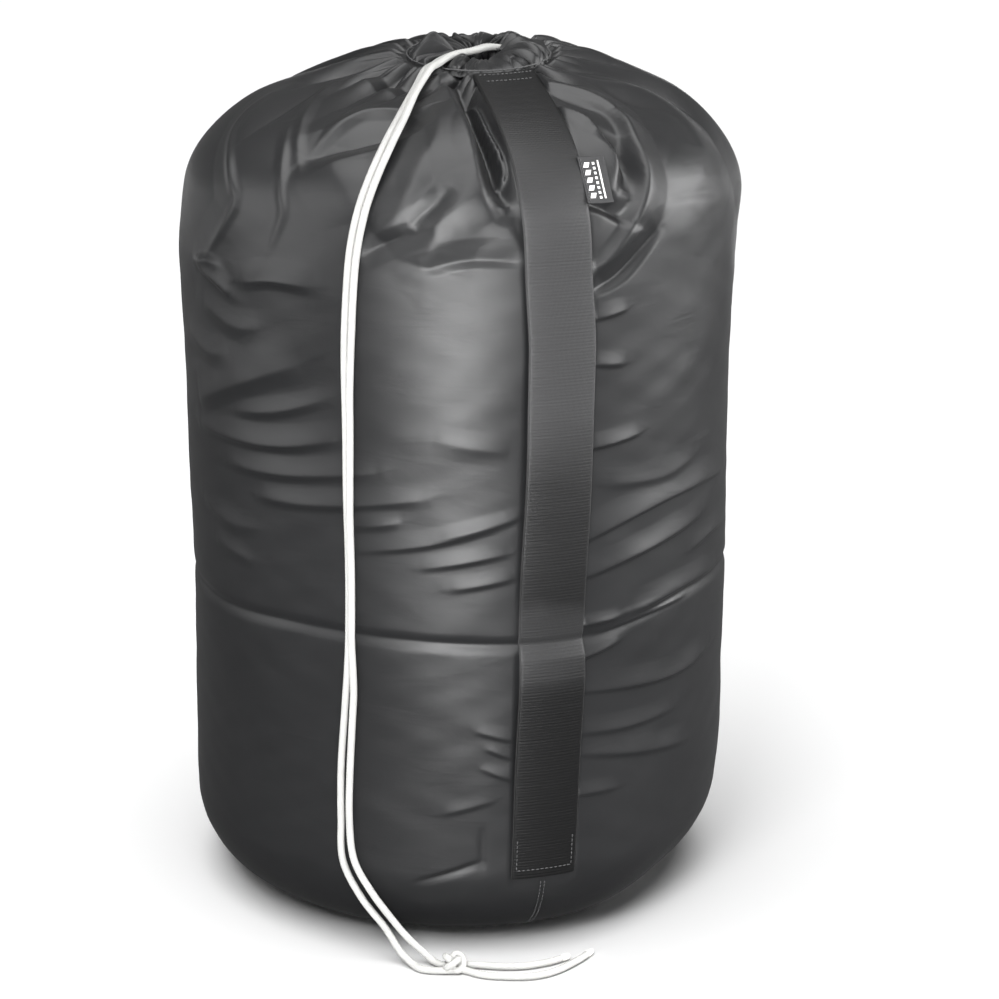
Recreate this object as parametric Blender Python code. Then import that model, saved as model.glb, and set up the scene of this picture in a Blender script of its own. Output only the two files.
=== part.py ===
"""A filled drawcord sack with a webbing carry strap, standing on its round base.

Metres, +Z up. The origin is on the floor under the middle of the sack, and the
front of the sack faces -Y. Angles around the sack are measured from -Y towards +X.
"""
import math

import bmesh
import bpy
from mathutils import Matrix, Vector

# ---------------------------------------------------------------- driving dimensions
SIDE_RADIUS = 0.190          # waist of the filled sack
BASE_RADIUS = 0.1915         # just above the rounded base
SHOULDER_RADIUS = 0.1925     # where the gathered top begins
SHOULDER_HEIGHT = 0.478
BASE_FILLET = 0.061          # rounding of the base's edge
DOME_HEIGHT = 0.107          # from the shoulder up to the drawcord casing
DOME_BULGE = 2.8             # superellipse exponents of the gathered top
DOME_SLOPE = 1.25
FABRIC = 0.002
GAP = 0.0003                 # between pieces that touch

BASE_PANEL_RADIUS = 0.1345
BASE_SEAM_GAP = 0.0009       # leaves room for the side wall's slanted lower edge
BASE_SEAM_LIFT = 0.0016      # the bound seam stands this far over the bottom panel
BASE_SEAM_HEIGHT = 0.008
SIDE_SEAM_HALF_WIDTH = 0.006
SIDE_SEAM_THICKNESS = 0.0016
SIDE_SEAM_GAP = 0.0012
SIDE_SEAM_ENDS = (0.075, 0.465)
WALL_HEIGHTS = (0.10, 0.20, 0.30, 0.40, 0.47)   # rings of the side wall
RING_SPACING = 0.0145        # between rings on the base's rounding and the gathered top
OUTLINE_LENGTH = 0.7         # about, from base seam to hem, along the fabric
MOUTH_SHIFT = Vector((0.015, -0.020, 0.0))   # the mouth is drawn up off centre
MOUTH_TILT = math.radians(8)                 # and leans to the front
HEM_RADIUS = 0.047           # hem of the drawcord casing, about the mouth's centre
CASING_CENTRE = 0.0295       # middle of the casing's width, about the mouth's centre
CASING_HALF_WIDTH = 0.0168
CASING_HALF_HEIGHT = 0.0065
CASING_DROP = 0.006          # its middle, below the hem
CASING_WALL = 0.0015

CORD_RADIUS = 0.0024
CORD_RING_RADIUS = 0.0235
EXIT_ANGLE = math.radians(120)
EXIT_HALF_GAP = math.radians(34)             # the inner loop stops this far from the exit
EXIT_SIZE = (0.0125, 0.0165)                 # outside of the buttonhole's binding
EXIT_WALL = 0.001

STRAP_WIDTH = 0.045
STRAP_THICKNESS = 0.0018
STRAP_CLEARANCE = 0.0006
STRAP_BOTTOM_ANGLE = math.radians(16.5)
STRAP_TOP_ANGLE = math.radians(18.7)
STRAP_LEAN_HEIGHT = 0.43
STRAP_BOTTOM_HEIGHT = 0.056
STRAP_END_RADIUS = 0.0555                    # the sewn top end meets the casing's hem
GRIP_BOTTOM_HEIGHT = 0.140
GRIP_TOP_HEIGHT = 0.440
BOX_STITCH_LENGTH = 0.020
BOX_STITCH_MARGIN = 0.005
THREAD_RADIUS = 0.0005

LABEL_ANGLE = math.radians(27.4)
LABEL_HEIGHT_ON_SACK = 0.5175
LABEL_SIZE = (0.018, 0.032, 0.0008)          # width, height, thickness
LABEL_ROLL = math.radians(-3)
LABEL_LIFT = 0.0031

SEGMENTS = 48                # around the sack
STRAP_COLUMNS = 6

# Middle of each strand of the drawcord, from its exit to the knot on the floor.
LEFT_STRAND = [
    (0.0318, -0.0068, 0.5896), (0.0287, -0.0070, 0.5902), (0.0212, -0.0087, 0.5900),
    (0.0141, -0.0136, 0.5886), (0.0076, -0.0220, 0.5874), (-0.0033, -0.0325, 0.5858),
    (-0.0090, -0.0432, 0.5842), (-0.0141, -0.0579, 0.5821), (-0.0218, -0.0825, 0.5754),
    (-0.0292, -0.1111, 0.5670), (-0.0365, -0.1376, 0.5570), (-0.0451, -0.1600, 0.5435),
    (-0.0542, -0.1760, 0.5251), (-0.0618, -0.1838, 0.5045), (-0.0671, -0.1867, 0.4800),
    (-0.0697, -0.1862, 0.4500), (-0.0715, -0.1848, 0.4100), (-0.0712, -0.1843, 0.3600),
    (-0.0708, -0.1838, 0.3100), (-0.0712, -0.1835, 0.2600), (-0.0724, -0.1837, 0.2150),
    (-0.0755, -0.1826, 0.1750), (-0.0785, -0.1818, 0.1350), (-0.0792, -0.1822, 0.0980),
    (-0.0784, -0.1834, 0.0680), (-0.0664, -0.1885, 0.0434), (-0.0508, -0.1935, 0.0239),
    (-0.0409, -0.1990, 0.0094), (-0.0328, -0.2060, 0.0036), (-0.0255, -0.2128, 0.0025),
    (-0.0127, -0.2152, 0.0027),
]
RIGHT_STRAND = [
    (0.0322, -0.0120, 0.5896), (0.0291, -0.0122, 0.5900), (0.0238, -0.0133, 0.5896),
    (0.0187, -0.0168, 0.5880), (0.0130, -0.0244, 0.5868), (0.0062, -0.0343, 0.5855),
    (-0.0011, -0.0460, 0.5838), (-0.0065, -0.0603, 0.5817), (-0.0152, -0.0845, 0.5752),
    (-0.0233, -0.1129, 0.5668), (-0.0308, -0.1398, 0.5565), (-0.0396, -0.1630, 0.5425),
    (-0.0489, -0.1785, 0.5235), (-0.0563, -0.1858, 0.5035), (-0.0614, -0.1890, 0.4790),
    (-0.0642, -0.1888, 0.4500), (-0.0662, -0.1871, 0.4100), (-0.0659, -0.1865, 0.3600),
    (-0.0655, -0.1860, 0.3100), (-0.0658, -0.1857, 0.2600), (-0.0672, -0.1858, 0.2150),
    (-0.0701, -0.1852, 0.1750), (-0.0725, -0.1847, 0.1350), (-0.0736, -0.1849, 0.0980),
    (-0.0709, -0.1868, 0.0700), (-0.0594, -0.1910, 0.0484), (-0.0456, -0.1940, 0.0294),
    (-0.0351, -0.1968, 0.0172), (-0.0251, -0.1990, 0.0082), (-0.0180, -0.2030, 0.0033),
    (-0.0123, -0.2070, 0.0027),
]
KNOT_CENTRE = Vector((-0.0050, -0.2110, 0.0086))
KNOT_SIZE = Vector((0.0080, 0.0090, 0.0083))
LEFT_TAIL = [
    (0.0020, -0.2146, 0.0027), (0.0150, -0.2215, 0.0025), (0.0300, -0.2240, 0.0025),
    (0.0450, -0.2240, 0.0025), (0.0580, -0.2195, 0.0025), (0.0690, -0.2110, 0.0025),
    (0.0790, -0.2000, 0.0025), (0.0850, -0.1920, 0.0025),
]
RIGHT_TAIL = [
    (0.0023, -0.2066, 0.0027), (0.0150, -0.2078, 0.0025), (0.0260, -0.2095, 0.0025),
    (0.0400, -0.2095, 0.0025), (0.0500, -0.2070, 0.0025), (0.0600, -0.2030, 0.0025),
    (0.0680, -0.1980, 0.0025),
]
TIP_LENGTH = 0.006


# ---------------------------------------------------------------- scene helpers
def clear_scene():
    for item in list(bpy.data.objects):
        bpy.data.objects.remove(item, do_unlink=True)


def make_material(name, colour, roughness, metallic=0.0):
    made = bpy.data.materials.new(name)
    made.use_nodes = True
    shader = made.node_tree.nodes["Principled BSDF"]
    shader.inputs["Base Color"].default_value = (*colour, 1.0)
    shader.inputs["Roughness"].default_value = roughness
    shader.inputs["Metallic"].default_value = metallic
    return made


def add_object(name, data, material):
    made = bpy.data.objects.new(name, data)
    bpy.context.scene.collection.objects.link(made)
    data.materials.append(material)
    return made


def mesh_from_grid(name, rows, material, close_rows=False, sharp=40):
    """A closed body from rows of points: each row is a closed ring of equal length."""
    shape = bmesh.new()
    rings = [[shape.verts.new(point) for point in row] for row in rows]
    pairs = list(zip(rings, rings[1:]))
    if close_rows:
        pairs.append((rings[-1], rings[0]))
    else:
        shape.faces.new(list(reversed(rings[0])))
        shape.faces.new(rings[-1])
    for lower, upper in pairs:
        count = len(lower)
        for i in range(count):
            j = (i + 1) % count
            shape.faces.new((lower[i], lower[j], upper[j], upper[i]))
    bmesh.ops.recalc_face_normals(shape, faces=shape.faces)
    mesh = bpy.data.meshes.new(name)
    shape.to_mesh(mesh)
    shape.free()
    mesh.shade_smooth()
    mesh.set_sharp_from_angle(angle=math.radians(sharp))
    return add_object(name, mesh, material)


def smooth_route(points, spacing):
    """Points read at even steps from a Catmull-Rom curve through the given points."""
    knots = [Vector(point) for point in points]
    knots = [2 * knots[0] - knots[1]] + knots + [2 * knots[-1] - knots[-2]]
    fine = []
    for a, b, c, d in zip(knots, knots[1:], knots[2:], knots[3:]):
        for step in range(12):
            t = step / 12
            fine.append(0.5 * (2 * b + (c - a) * t + (2 * a - 5 * b + 4 * c - d) * t ** 2
                               + (3 * b - a - 3 * c + d) * t ** 3))
    fine.append(knots[-2])
    return even_steps(fine, spacing)


def even_steps(points, spacing):
    lengths = [0.0]
    for a, b in zip(points, points[1:]):
        lengths.append(lengths[-1] + (b - a).length)
    count = max(2, round(lengths[-1] / spacing) + 1)
    result = []
    place = 0
    for i in range(count):
        target = lengths[-1] * i / (count - 1)
        while place < len(lengths) - 2 and lengths[place + 1] < target:
            place += 1
        span = lengths[place + 1] - lengths[place]
        share = (target - lengths[place]) / span
        result.append(points[place].lerp(points[place + 1], share))
    return result


def tube(name, points, radius, material, closed=False):
    """A round tube along a chain of points, as a curve with a bevel."""
    curve = bpy.data.curves.new(name, "CURVE")
    curve.dimensions = "3D"
    curve.bevel_depth = radius
    curve.bevel_resolution = 2
    curve.use_fill_caps = not closed
    spline = curve.splines.new("POLY")
    spline.points.add(len(points) - 1)
    for spot, point in zip(spline.points, points):
        spot.co = (*point, 1.0)
    spline.use_cyclic_u = closed
    return add_object(name, curve, material)


# ---------------------------------------------------------------- the sack's surface
def side_radius(height):
    """Radius of the side wall: slimmest at mid height."""
    share = (height - BASE_FILLET) / (SHOULDER_HEIGHT - BASE_FILLET)
    return (BASE_RADIUS * (1 - share) * (1 - 2 * share)
            + SIDE_RADIUS * 4 * share * (1 - share)
            + SHOULDER_RADIUS * share * (2 * share - 1))


def build_meridian():
    """Outline of the sack from the base seam to the casing's hem: (radius, height)."""
    outline = []
    flat = BASE_RADIUS - BASE_FILLET
    start = math.asin((BASE_PANEL_RADIUS + BASE_SEAM_GAP - flat) / BASE_FILLET)
    for i in range(24):
        angle = start + (math.pi / 2 - start) * i / 24
        outline.append(Vector((flat + BASE_FILLET * math.sin(angle),
                               BASE_FILLET * (1 - math.cos(angle)))))
    for i in range(40):
        height = BASE_FILLET + (SHOULDER_HEIGHT - BASE_FILLET) * i / 40
        outline.append(Vector((side_radius(height), height)))
    for i in range(60):
        angle = math.pi / 2 * i / 60
        share = math.cos(angle) ** (2 / DOME_SLOPE)
        radius = CASING_CENTRE + (SHOULDER_RADIUS - CASING_CENTRE) * share
        if radius < HEM_RADIUS:
            break
        height = SHOULDER_HEIGHT + DOME_HEIGHT * math.sin(angle) ** (2 / DOME_BULGE)
        outline.append(Vector((radius, height)))
    return outline


MERIDIAN = build_meridian()
HEM_HEIGHT = MERIDIAN[-1].y


def place(radius, height, angle):
    """A point of the sack, with the rings of the gathered top drawn to the mouth."""
    share = (SHOULDER_RADIUS - radius) / (SHOULDER_RADIUS - HEM_RADIUS)
    pull = min(1.0, max(0.0, share)) ** 2 if height >= SHOULDER_HEIGHT else 0.0
    x = radius * math.sin(angle)
    y = -radius * math.cos(angle)
    drop = pull * math.sin(MOUTH_TILT) * y
    return Vector((x, y, height + drop)) + MOUTH_SHIFT * pull


def meridian_frame(position):
    """Point and outward normal of the outline at a share (0 to 1) of its point list."""
    place_on = position * (len(MERIDIAN) - 1)
    i = min(int(place_on), len(MERIDIAN) - 2)
    point = MERIDIAN[i].lerp(MERIDIAN[i + 1], place_on - i)
    before = MERIDIAN[max(0, i - 1)]
    after = MERIDIAN[min(len(MERIDIAN) - 1, i + 2)]
    along = (after - before).normalized()
    return point, Vector((along.y, -along.x))


def on_sack(position, angle, lift=0.0):
    """A point at a share of the outline and an angle, lifted off the fabric."""
    point, normal = meridian_frame(position)
    base = place(point.x, point.y, angle)
    outward = Vector((normal.x * math.sin(angle), -normal.x * math.cos(angle), normal.y))
    return base + outward * lift


def share_at(test):
    """The share of the outline where its point first passes a test."""
    for i, point in enumerate(MERIDIAN):
        if test(point):
            return i / (len(MERIDIAN) - 1)
    return 1.0


def turn(radius_height_pairs):
    """Rings around the sack for a list of (radius, height) pairs."""
    angles = [2 * math.pi * i / SEGMENTS for i in range(SEGMENTS)]
    return [[place(radius, height, angle) for angle in angles]
            for radius, height in radius_height_pairs]


# ---------------------------------------------------------------- the fabric body
def make_bottom_panel(material):
    half = FABRIC / 2
    edge = [(BASE_PANEL_RADIUS - half, 0.0), (BASE_PANEL_RADIUS, half),
            (BASE_PANEL_RADIUS, FABRIC)]
    mesh_from_grid("bottom_panel", turn(edge), material)


def make_bottom_seam(material):
    """The bound seam allowance that stands up inside, over the base seam."""
    foot = FABRIC + BASE_SEAM_LIFT
    inner, outer = BASE_PANEL_RADIUS - 0.004, BASE_PANEL_RADIUS + 0.0015
    top = foot + BASE_SEAM_HEIGHT
    edge = [(inner, foot), (outer, foot), (outer, top), (inner, top)]
    mesh_from_grid("bottom_seam_binding", turn(edge), material, close_rows=True)


def make_side_panel(material):
    """One turned wall of fabric, from the base seam up to the casing's hem."""
    points = even_steps([Vector((p.x, p.y, 0)) for p in MERIDIAN], RING_SPACING)
    wall = [Vector((side_radius(h), h, 0)) for h in WALL_HEIGHTS]
    low = [p for p in points if p.y < BASE_FILLET]
    high = [p for p in points if p.y > SHOULDER_HEIGHT]
    outer = low + wall + high
    inner = []
    for i, point in enumerate(outer):
        before, after = outer[max(0, i - 1)], outer[min(len(outer) - 1, i + 1)]
        along = (after - before).normalized()
        inner.append(point - Vector((along.y, -along.x, 0)) * FABRIC)
    profile = [(p.x, p.y) for p in outer] + [(p.x, p.y) for p in reversed(inner)]
    mesh_from_grid("side_panel", turn(profile), material, close_rows=True)


def make_side_seam(material):
    """The felled side seam, a narrow strip inside the wall behind the strap."""
    low, high = SIDE_SEAM_ENDS
    rows = []
    for i in range(7):
        height = low + (high - low) * i / 6
        outer = side_radius(height) - FABRIC - SIDE_SEAM_GAP
        inner = outer - SIDE_SEAM_THICKNESS
        middle = strap_angle(height)
        row = []
        for radius, side in ((outer, -1), (outer, 1), (inner, 1), (inner, -1)):
            row.append(place(radius, height, middle + side * SIDE_SEAM_HALF_WIDTH / outer))
        rows.append(row)
    mesh_from_grid("side_seam_binding", rows, material)


# ---------------------------------------------------------------- the drawcord casing
def casing_section(inset, count):
    """The casing's flat oval section about the mouth's centre, as (radius, height)."""
    wide = CASING_HALF_WIDTH - inset
    high = CASING_HALF_HEIGHT - inset
    pairs = []
    for i in range(count):
        angle = 2 * math.pi * i / count
        pairs.append((CASING_CENTRE + wide * math.cos(angle),
                      HEM_HEIGHT - CASING_DROP + high * math.sin(angle)))
    return pairs


def exit_point():
    radius = CORD_RING_RADIUS - 0.003
    top = HEM_HEIGHT - CASING_DROP + CASING_HALF_HEIGHT
    return place(radius, top, EXIT_ANGLE) + Vector((0, 0, 0.001))


def make_casing(material):
    """A hollow ring of fabric with a slot in its top for the cord."""
    casing = mesh_from_grid("drawcord_casing", turn(casing_section(0.0, 14)), material,
                            close_rows=True)
    cavity = mesh_from_grid("casing_cavity_cutter",
                            turn(casing_section(CASING_WALL, 12)), material,
                            close_rows=True)
    slot = bpy.data.meshes.new("exit_slot_cutter")
    shape = bmesh.new()
    bmesh.ops.create_cube(shape, size=1.0)
    size = Vector((EXIT_SIZE[0] + 2 * GAP, EXIT_SIZE[1] + 2 * GAP, 0.014))
    bmesh.ops.scale(shape, vec=size, verts=shape.verts)
    bmesh.ops.translate(shape, vec=exit_point() + Vector((0, 0, 0.001)), verts=shape.verts)
    shape.to_mesh(slot)
    shape.free()
    slot_cutter = add_object("exit_slot_cutter", slot, material)
    for cutter in (cavity, slot_cutter):
        cutter.hide_render = True
        cutter.display_type = "WIRE"
        cut = casing.modifiers.new(cutter.name, "BOOLEAN")
        cut.operation = "DIFFERENCE"
        cut.solver = "EXACT"
        cut.object = cutter


def make_buttonhole(material):
    """The stitched binding that lines the slot."""
    middle = exit_point()
    rows = []
    for inset in (0.0, EXIT_WALL):
        half_x, half_y = EXIT_SIZE[0] / 2 - inset, EXIT_SIZE[1] / 2 - inset
        for height in ((-0.002, 0.0005) if inset == 0.0 else (0.0005, -0.002)):
            row = []
            for sign_x, sign_y in ((-1, -1), (1, -1), (1, 1), (-1, 1)):
                row.append(middle + Vector((sign_x * half_x, sign_y * half_y, height)))
            rows.append(row)
    mesh_from_grid("exit_buttonhole", rows, material, close_rows=True)


def make_drawcord_loop(material):
    """The stretch of cord inside the casing, from one side of the exit to the other."""
    first = EXIT_ANGLE + EXIT_HALF_GAP
    last = EXIT_ANGLE + 2 * math.pi - EXIT_HALF_GAP
    height = HEM_HEIGHT - CASING_DROP
    points = [place(CORD_RING_RADIUS, height, first + (last - first) * i / 23)
              for i in range(24)]
    tube("drawcord_loop", points, CORD_RADIUS, material)


def make_casing_stitching(material):
    position = share_at(lambda p: p.x < HEM_RADIUS + 0.004 and p.y > SHOULDER_HEIGHT)
    points = [on_sack(position, 2 * math.pi * i / 36, 0.0012) for i in range(36)]
    tube("casing_hem_stitching", points, THREAD_RADIUS, material, closed=True)


# ---------------------------------------------------------------- the webbing strap
def strap_angle(height):
    lean = min(1.0, height / STRAP_LEAN_HEIGHT)
    return STRAP_BOTTOM_ANGLE + (STRAP_TOP_ANGLE - STRAP_BOTTOM_ANGLE) * lean


def strap_point(position, across, lift):
    """A point of the strap: a share of the outline, and metres across and off the sack."""
    point, _ = meridian_frame(position)
    return on_sack(position, strap_angle(point.y) + across / point.x, lift)


def strap_rows(start, end, count):
    half = STRAP_WIDTH / 2
    low, high = STRAP_CLEARANCE, STRAP_CLEARANCE + STRAP_THICKNESS
    across = [-half + STRAP_WIDTH * i / STRAP_COLUMNS for i in range(STRAP_COLUMNS + 1)]
    rows = []
    for i in range(count + 1):
        position = start + (end - start) * i / count
        rows.append([strap_point(position, a, low) for a in across]
                    + [strap_point(position, a, high) for a in reversed(across)])
    return rows


def height_share(height):
    return share_at(lambda p: p.y >= height)


def make_strap(material):
    gap = GAP / OUTLINE_LENGTH
    bottom = height_share(STRAP_BOTTOM_HEIGHT)
    grip_low, grip_high = height_share(GRIP_BOTTOM_HEIGHT), height_share(GRIP_TOP_HEIGHT)
    top = share_at(lambda p: p.x < STRAP_END_RADIUS and p.y > SHOULDER_HEIGHT)
    mesh_from_grid("strap_lower_end", strap_rows(bottom, grip_low - gap, 5), material)
    grip = mesh_from_grid("strap_grip", strap_rows(grip_low, grip_high, 10), material)
    mesh_from_grid("strap_upper_end", strap_rows(grip_high + gap, top, 16), material)
    return bottom, grip, top


def make_box_stitch(name, edge, direction, material):
    """A rectangle of thread near one end of the strap, pulled into its surface."""
    half = STRAP_WIDTH / 2 - BOX_STITCH_MARGIN
    lift = STRAP_CLEARANCE + STRAP_THICKNESS + THREAD_RADIUS + GAP
    near = edge + direction * BOX_STITCH_MARGIN / OUTLINE_LENGTH
    far = near + direction * BOX_STITCH_LENGTH / OUTLINE_LENGTH
    corners = []
    for i in range(5):
        corners.append((near, -half + 2 * half * i / 4))
    for i in range(1, 4):
        corners.append((near + (far - near) * i / 3, half))
    for i in range(1, 5):
        corners.append((far, half - 2 * half * i / 4))
    for i in range(1, 3):
        corners.append((far + (near - far) * i / 3, -half))
    tube(name, [strap_point(p, a, lift) for p, a in corners], THREAD_RADIUS, material,
         closed=True)


# ---------------------------------------------------------------- the woven label
def make_label(material, thread):
    """A small flat label whose edge beside the strap is sewn down."""
    position = height_share(LABEL_HEIGHT_ON_SACK)
    middle = on_sack(position, LABEL_ANGLE, LABEL_LIFT)
    outward = (on_sack(position, LABEL_ANGLE, 0.01) - on_sack(position, LABEL_ANGLE)).normalized()
    level = Vector((math.cos(LABEL_ANGLE), math.sin(LABEL_ANGLE), 0.0))
    up = outward.cross(level).normalized()
    side = up.cross(outward)
    across = side * math.cos(LABEL_ROLL) + up * math.sin(LABEL_ROLL)
    along = outward.cross(across)
    width, height, thickness = LABEL_SIZE
    rows = []
    for i in range(5):
        step = along * (height * (i / 4 - 0.5))
        rows.append([middle + step + across * (width * x) + outward * (thickness * z)
                     for x, z in ((-0.5, 0), (0.5, 0), (0.5, 1), (-0.5, 1))])
    label = mesh_from_grid("woven_label", rows, material)
    seam = middle - across * (width / 2 - 0.002) + outward * (thickness + THREAD_RADIUS + GAP)
    ends = [seam + along * (height * (i / 4 - 0.5) * 0.8) for i in range(5)]
    tube("label_stitching", ends, THREAD_RADIUS, thread)
    return label, middle - across * (width / 2)


def set_pivot(piece, pivot):
    """Moves a piece's origin to its joint's axis, leaving the shape in place."""
    piece.data.transform(Matrix.Translation(-pivot))
    piece.location = pivot


# ---------------------------------------------------------------- the free cord
def make_cords(material, tip_material):
    spacing = 2.8 * 2 * CORD_RADIUS
    for side, strand, tail in (("left", LEFT_STRAND, LEFT_TAIL),
                               ("right", RIGHT_STRAND, RIGHT_TAIL)):
        tube(f"drawcord_strand_{side}", smooth_route(strand, spacing), CORD_RADIUS, material)
        route = smooth_route(tail, spacing)
        tube(f"drawcord_tail_{side}", route, CORD_RADIUS, material)
        along = (route[-1] - route[-2]).normalized()
        start = route[-1] + along * GAP
        tube(f"cord_tip_{side}", [start, start + along * TIP_LENGTH], CORD_RADIUS * 0.93,
             tip_material)


def make_knot(material):
    """The lump of the overhand knot that joins both strands."""
    shape = bmesh.new()
    bmesh.ops.create_icosphere(shape, subdivisions=2, radius=1.0)
    for vert in shape.verts:
        swirl = 1 + 0.06 * math.sin(3 * math.atan2(vert.co.y, vert.co.x) + 4 * vert.co.z)
        vert.co = Vector((vert.co.x * KNOT_SIZE.x, vert.co.y * KNOT_SIZE.y,
                          vert.co.z * KNOT_SIZE.z)) * swirl
        vert.co.z = max(vert.co.z, 0.0002 - KNOT_CENTRE.z)
    bmesh.ops.translate(shape, vec=KNOT_CENTRE, verts=shape.verts)
    mesh = bpy.data.meshes.new("drawcord_knot")
    shape.to_mesh(mesh)
    shape.free()
    mesh.shade_smooth()
    add_object("drawcord_knot", mesh, material)


# ---------------------------------------------------------------- build
def main():
    clear_scene()
    nylon = make_material("black_nylon", (0.035, 0.036, 0.038), 0.42)
    binding = make_material("seam_binding", (0.020, 0.020, 0.021), 0.80)
    webbing = make_material("webbing", (0.030, 0.030, 0.031), 0.62)
    thread = make_material("thread", (0.045, 0.045, 0.046), 0.70)
    cord = make_material("white_cord", (0.86, 0.86, 0.84), 0.75)
    tip = make_material("melted_tip", (0.78, 0.77, 0.72), 0.35)
    label = make_material("label", (0.018, 0.018, 0.019), 0.70)

    make_bottom_panel(nylon)
    make_bottom_seam(binding)
    make_side_panel(nylon)
    make_side_seam(binding)
    make_casing(nylon)
    make_buttonhole(thread)
    make_drawcord_loop(cord)
    make_casing_stitching(thread)

    bottom, grip, top = make_strap(webbing)
    middle = (height_share(GRIP_BOTTOM_HEIGHT) + height_share(GRIP_TOP_HEIGHT)) / 2
    set_pivot(grip, strap_point(middle, 0.0, 0.0))
    make_box_stitch("strap_bottom_stitching", bottom, 1, thread)
    make_box_stitch("strap_top_stitching", top, -1, thread)

    flap, hinge = make_label(label, thread)
    set_pivot(flap, hinge)

    make_cords(cord, tip)
    make_knot(cord)


main()
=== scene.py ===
"""The looks of the standing drawcord sack: cloth, webbing, cord, label, light and camera."""
import math

import bmesh
import bpy
import numpy as np
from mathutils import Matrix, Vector


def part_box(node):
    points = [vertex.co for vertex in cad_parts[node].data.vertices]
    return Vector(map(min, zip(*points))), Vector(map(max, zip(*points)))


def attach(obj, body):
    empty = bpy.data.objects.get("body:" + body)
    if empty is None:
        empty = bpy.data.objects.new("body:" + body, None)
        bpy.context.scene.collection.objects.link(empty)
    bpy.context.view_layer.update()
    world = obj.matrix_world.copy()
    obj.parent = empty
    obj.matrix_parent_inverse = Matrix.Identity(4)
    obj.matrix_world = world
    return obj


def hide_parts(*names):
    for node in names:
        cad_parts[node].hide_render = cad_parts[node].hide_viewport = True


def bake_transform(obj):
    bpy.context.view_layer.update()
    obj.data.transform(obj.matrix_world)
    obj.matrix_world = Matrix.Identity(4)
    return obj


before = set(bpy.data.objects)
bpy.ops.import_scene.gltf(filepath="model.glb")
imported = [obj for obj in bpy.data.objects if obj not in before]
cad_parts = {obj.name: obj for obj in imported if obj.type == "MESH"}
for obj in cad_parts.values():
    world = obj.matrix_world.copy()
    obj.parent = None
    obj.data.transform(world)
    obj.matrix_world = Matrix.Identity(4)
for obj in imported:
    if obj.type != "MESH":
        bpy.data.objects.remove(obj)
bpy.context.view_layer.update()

# ------------------------------------------------------------------ sizes of the sack
# The outline repeats the CAD's: base fillet, slim wall, and a gathered top whose rings
# are drawn towards an off-centre mouth. Angles are measured from -Y towards +X.
SHOULDER_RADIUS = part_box("side_panel")[1][0]
BASE_RADIUS = SHOULDER_RADIUS - 0.0010
WAIST_RADIUS = SHOULDER_RADIUS - 0.0025
BASE_FILLET = 0.061
SEAM_RADIUS = 0.1354
SHOULDER_HEIGHT = 0.478
DOME_HEIGHT = 0.107
DOME_BULGE = 2.8
DOME_SLOPE = 1.25
DOME_INNER = 0.0295
HEM_RADIUS = 0.047
MOUTH_SHIFT = np.array([0.015, -0.020, 0.0])
MOUTH_TILT = math.radians(8)
SEED = 11

CORD_DIAMETER = 0.0048
BRAID_PITCH = 0.0088         # along the cord, for two crossings of its yarns
BRAID_STEP = 0.00055
STRAP_WIDTH = 0.045
STRAP_THICKNESS = 0.0018
STRAP_START = 0.086          # along the cloth from the base seam
STRAP_SINK = 0.0012          # how deep the cloth lies under the strap
GRIP_MIDDLE = 0.32           # along the cloth too, where the strap's two halves meet
RIB_PITCH = 0.0021           # of the webbing's cross ribs
YARN_PITCH = 0.0026          # of the yarns in a rib
THREAD_RADIUS = 0.00032
OVERCAST_TURNS, OVERCAST_REACH = 70, 0.0008
LABEL_WIDTH, LABEL_HEIGHT, LABEL_THICKNESS = 0.0180, 0.0320, 0.0007


# ------------------------------------------------------------------ small helpers
def link(name, data):
    made = bpy.data.objects.new(name, data)
    bpy.context.scene.collection.objects.link(made)
    return made


def mesh_object(name, points, faces, material):
    mesh = bpy.data.meshes.new(name)
    mesh.from_pydata([tuple(p) for p in points], [], faces)
    mesh.update()
    mesh.shade_smooth()
    made = link(name, mesh)
    mesh.materials.append(material)
    return made


def grid_object(name, grid, material, wrap=True, uv_scale=None):
    """A mesh from a rows x columns x 3 array of points; wrap joins last column to first."""
    rows, columns = grid.shape[:2]
    index = np.arange(rows * columns).reshape(rows, columns)
    right = np.roll(index, -1, axis=1) if wrap else index[:, 1:]
    left = index if wrap else index[:, :-1]
    quads = np.stack([left[:-1], right[:-1], right[1:], left[1:]], axis=-1).reshape(-1, 4)
    mesh = bpy.data.meshes.new(name)
    mesh.vertices.add(rows * columns)
    mesh.vertices.foreach_set("co", grid.reshape(-1).astype(np.float32))
    mesh.loops.add(quads.size)
    mesh.loops.foreach_set("vertex_index", quads.reshape(-1).astype(np.int32))
    mesh.polygons.add(len(quads))
    mesh.polygons.foreach_set("loop_start", np.arange(0, quads.size, 4, dtype=np.int32))
    mesh.update(calc_edges=True)
    mesh.validate()
    if uv_scale is not None:
        cells = left.shape[1]
        du, dv = uv_scale[0] / cells, uv_scale[1] / (rows - 1)
        u, v = np.meshgrid(np.arange(cells) * uv_scale[0] / cells,
                           np.arange(rows - 1) * uv_scale[1] / (rows - 1))
        corners = np.stack([np.stack([u + i * du, v + j * dv], -1)
                            for i, j in ((0, 0), (1, 0), (1, 1), (0, 1))], axis=2)
        layer = mesh.uv_layers.new(name="cloth")
        layer.data.foreach_set("uv", corners.reshape(-1).astype(np.float32))
    mesh.shade_smooth()
    made = link(name, mesh)
    mesh.materials.append(material)
    return made


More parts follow.
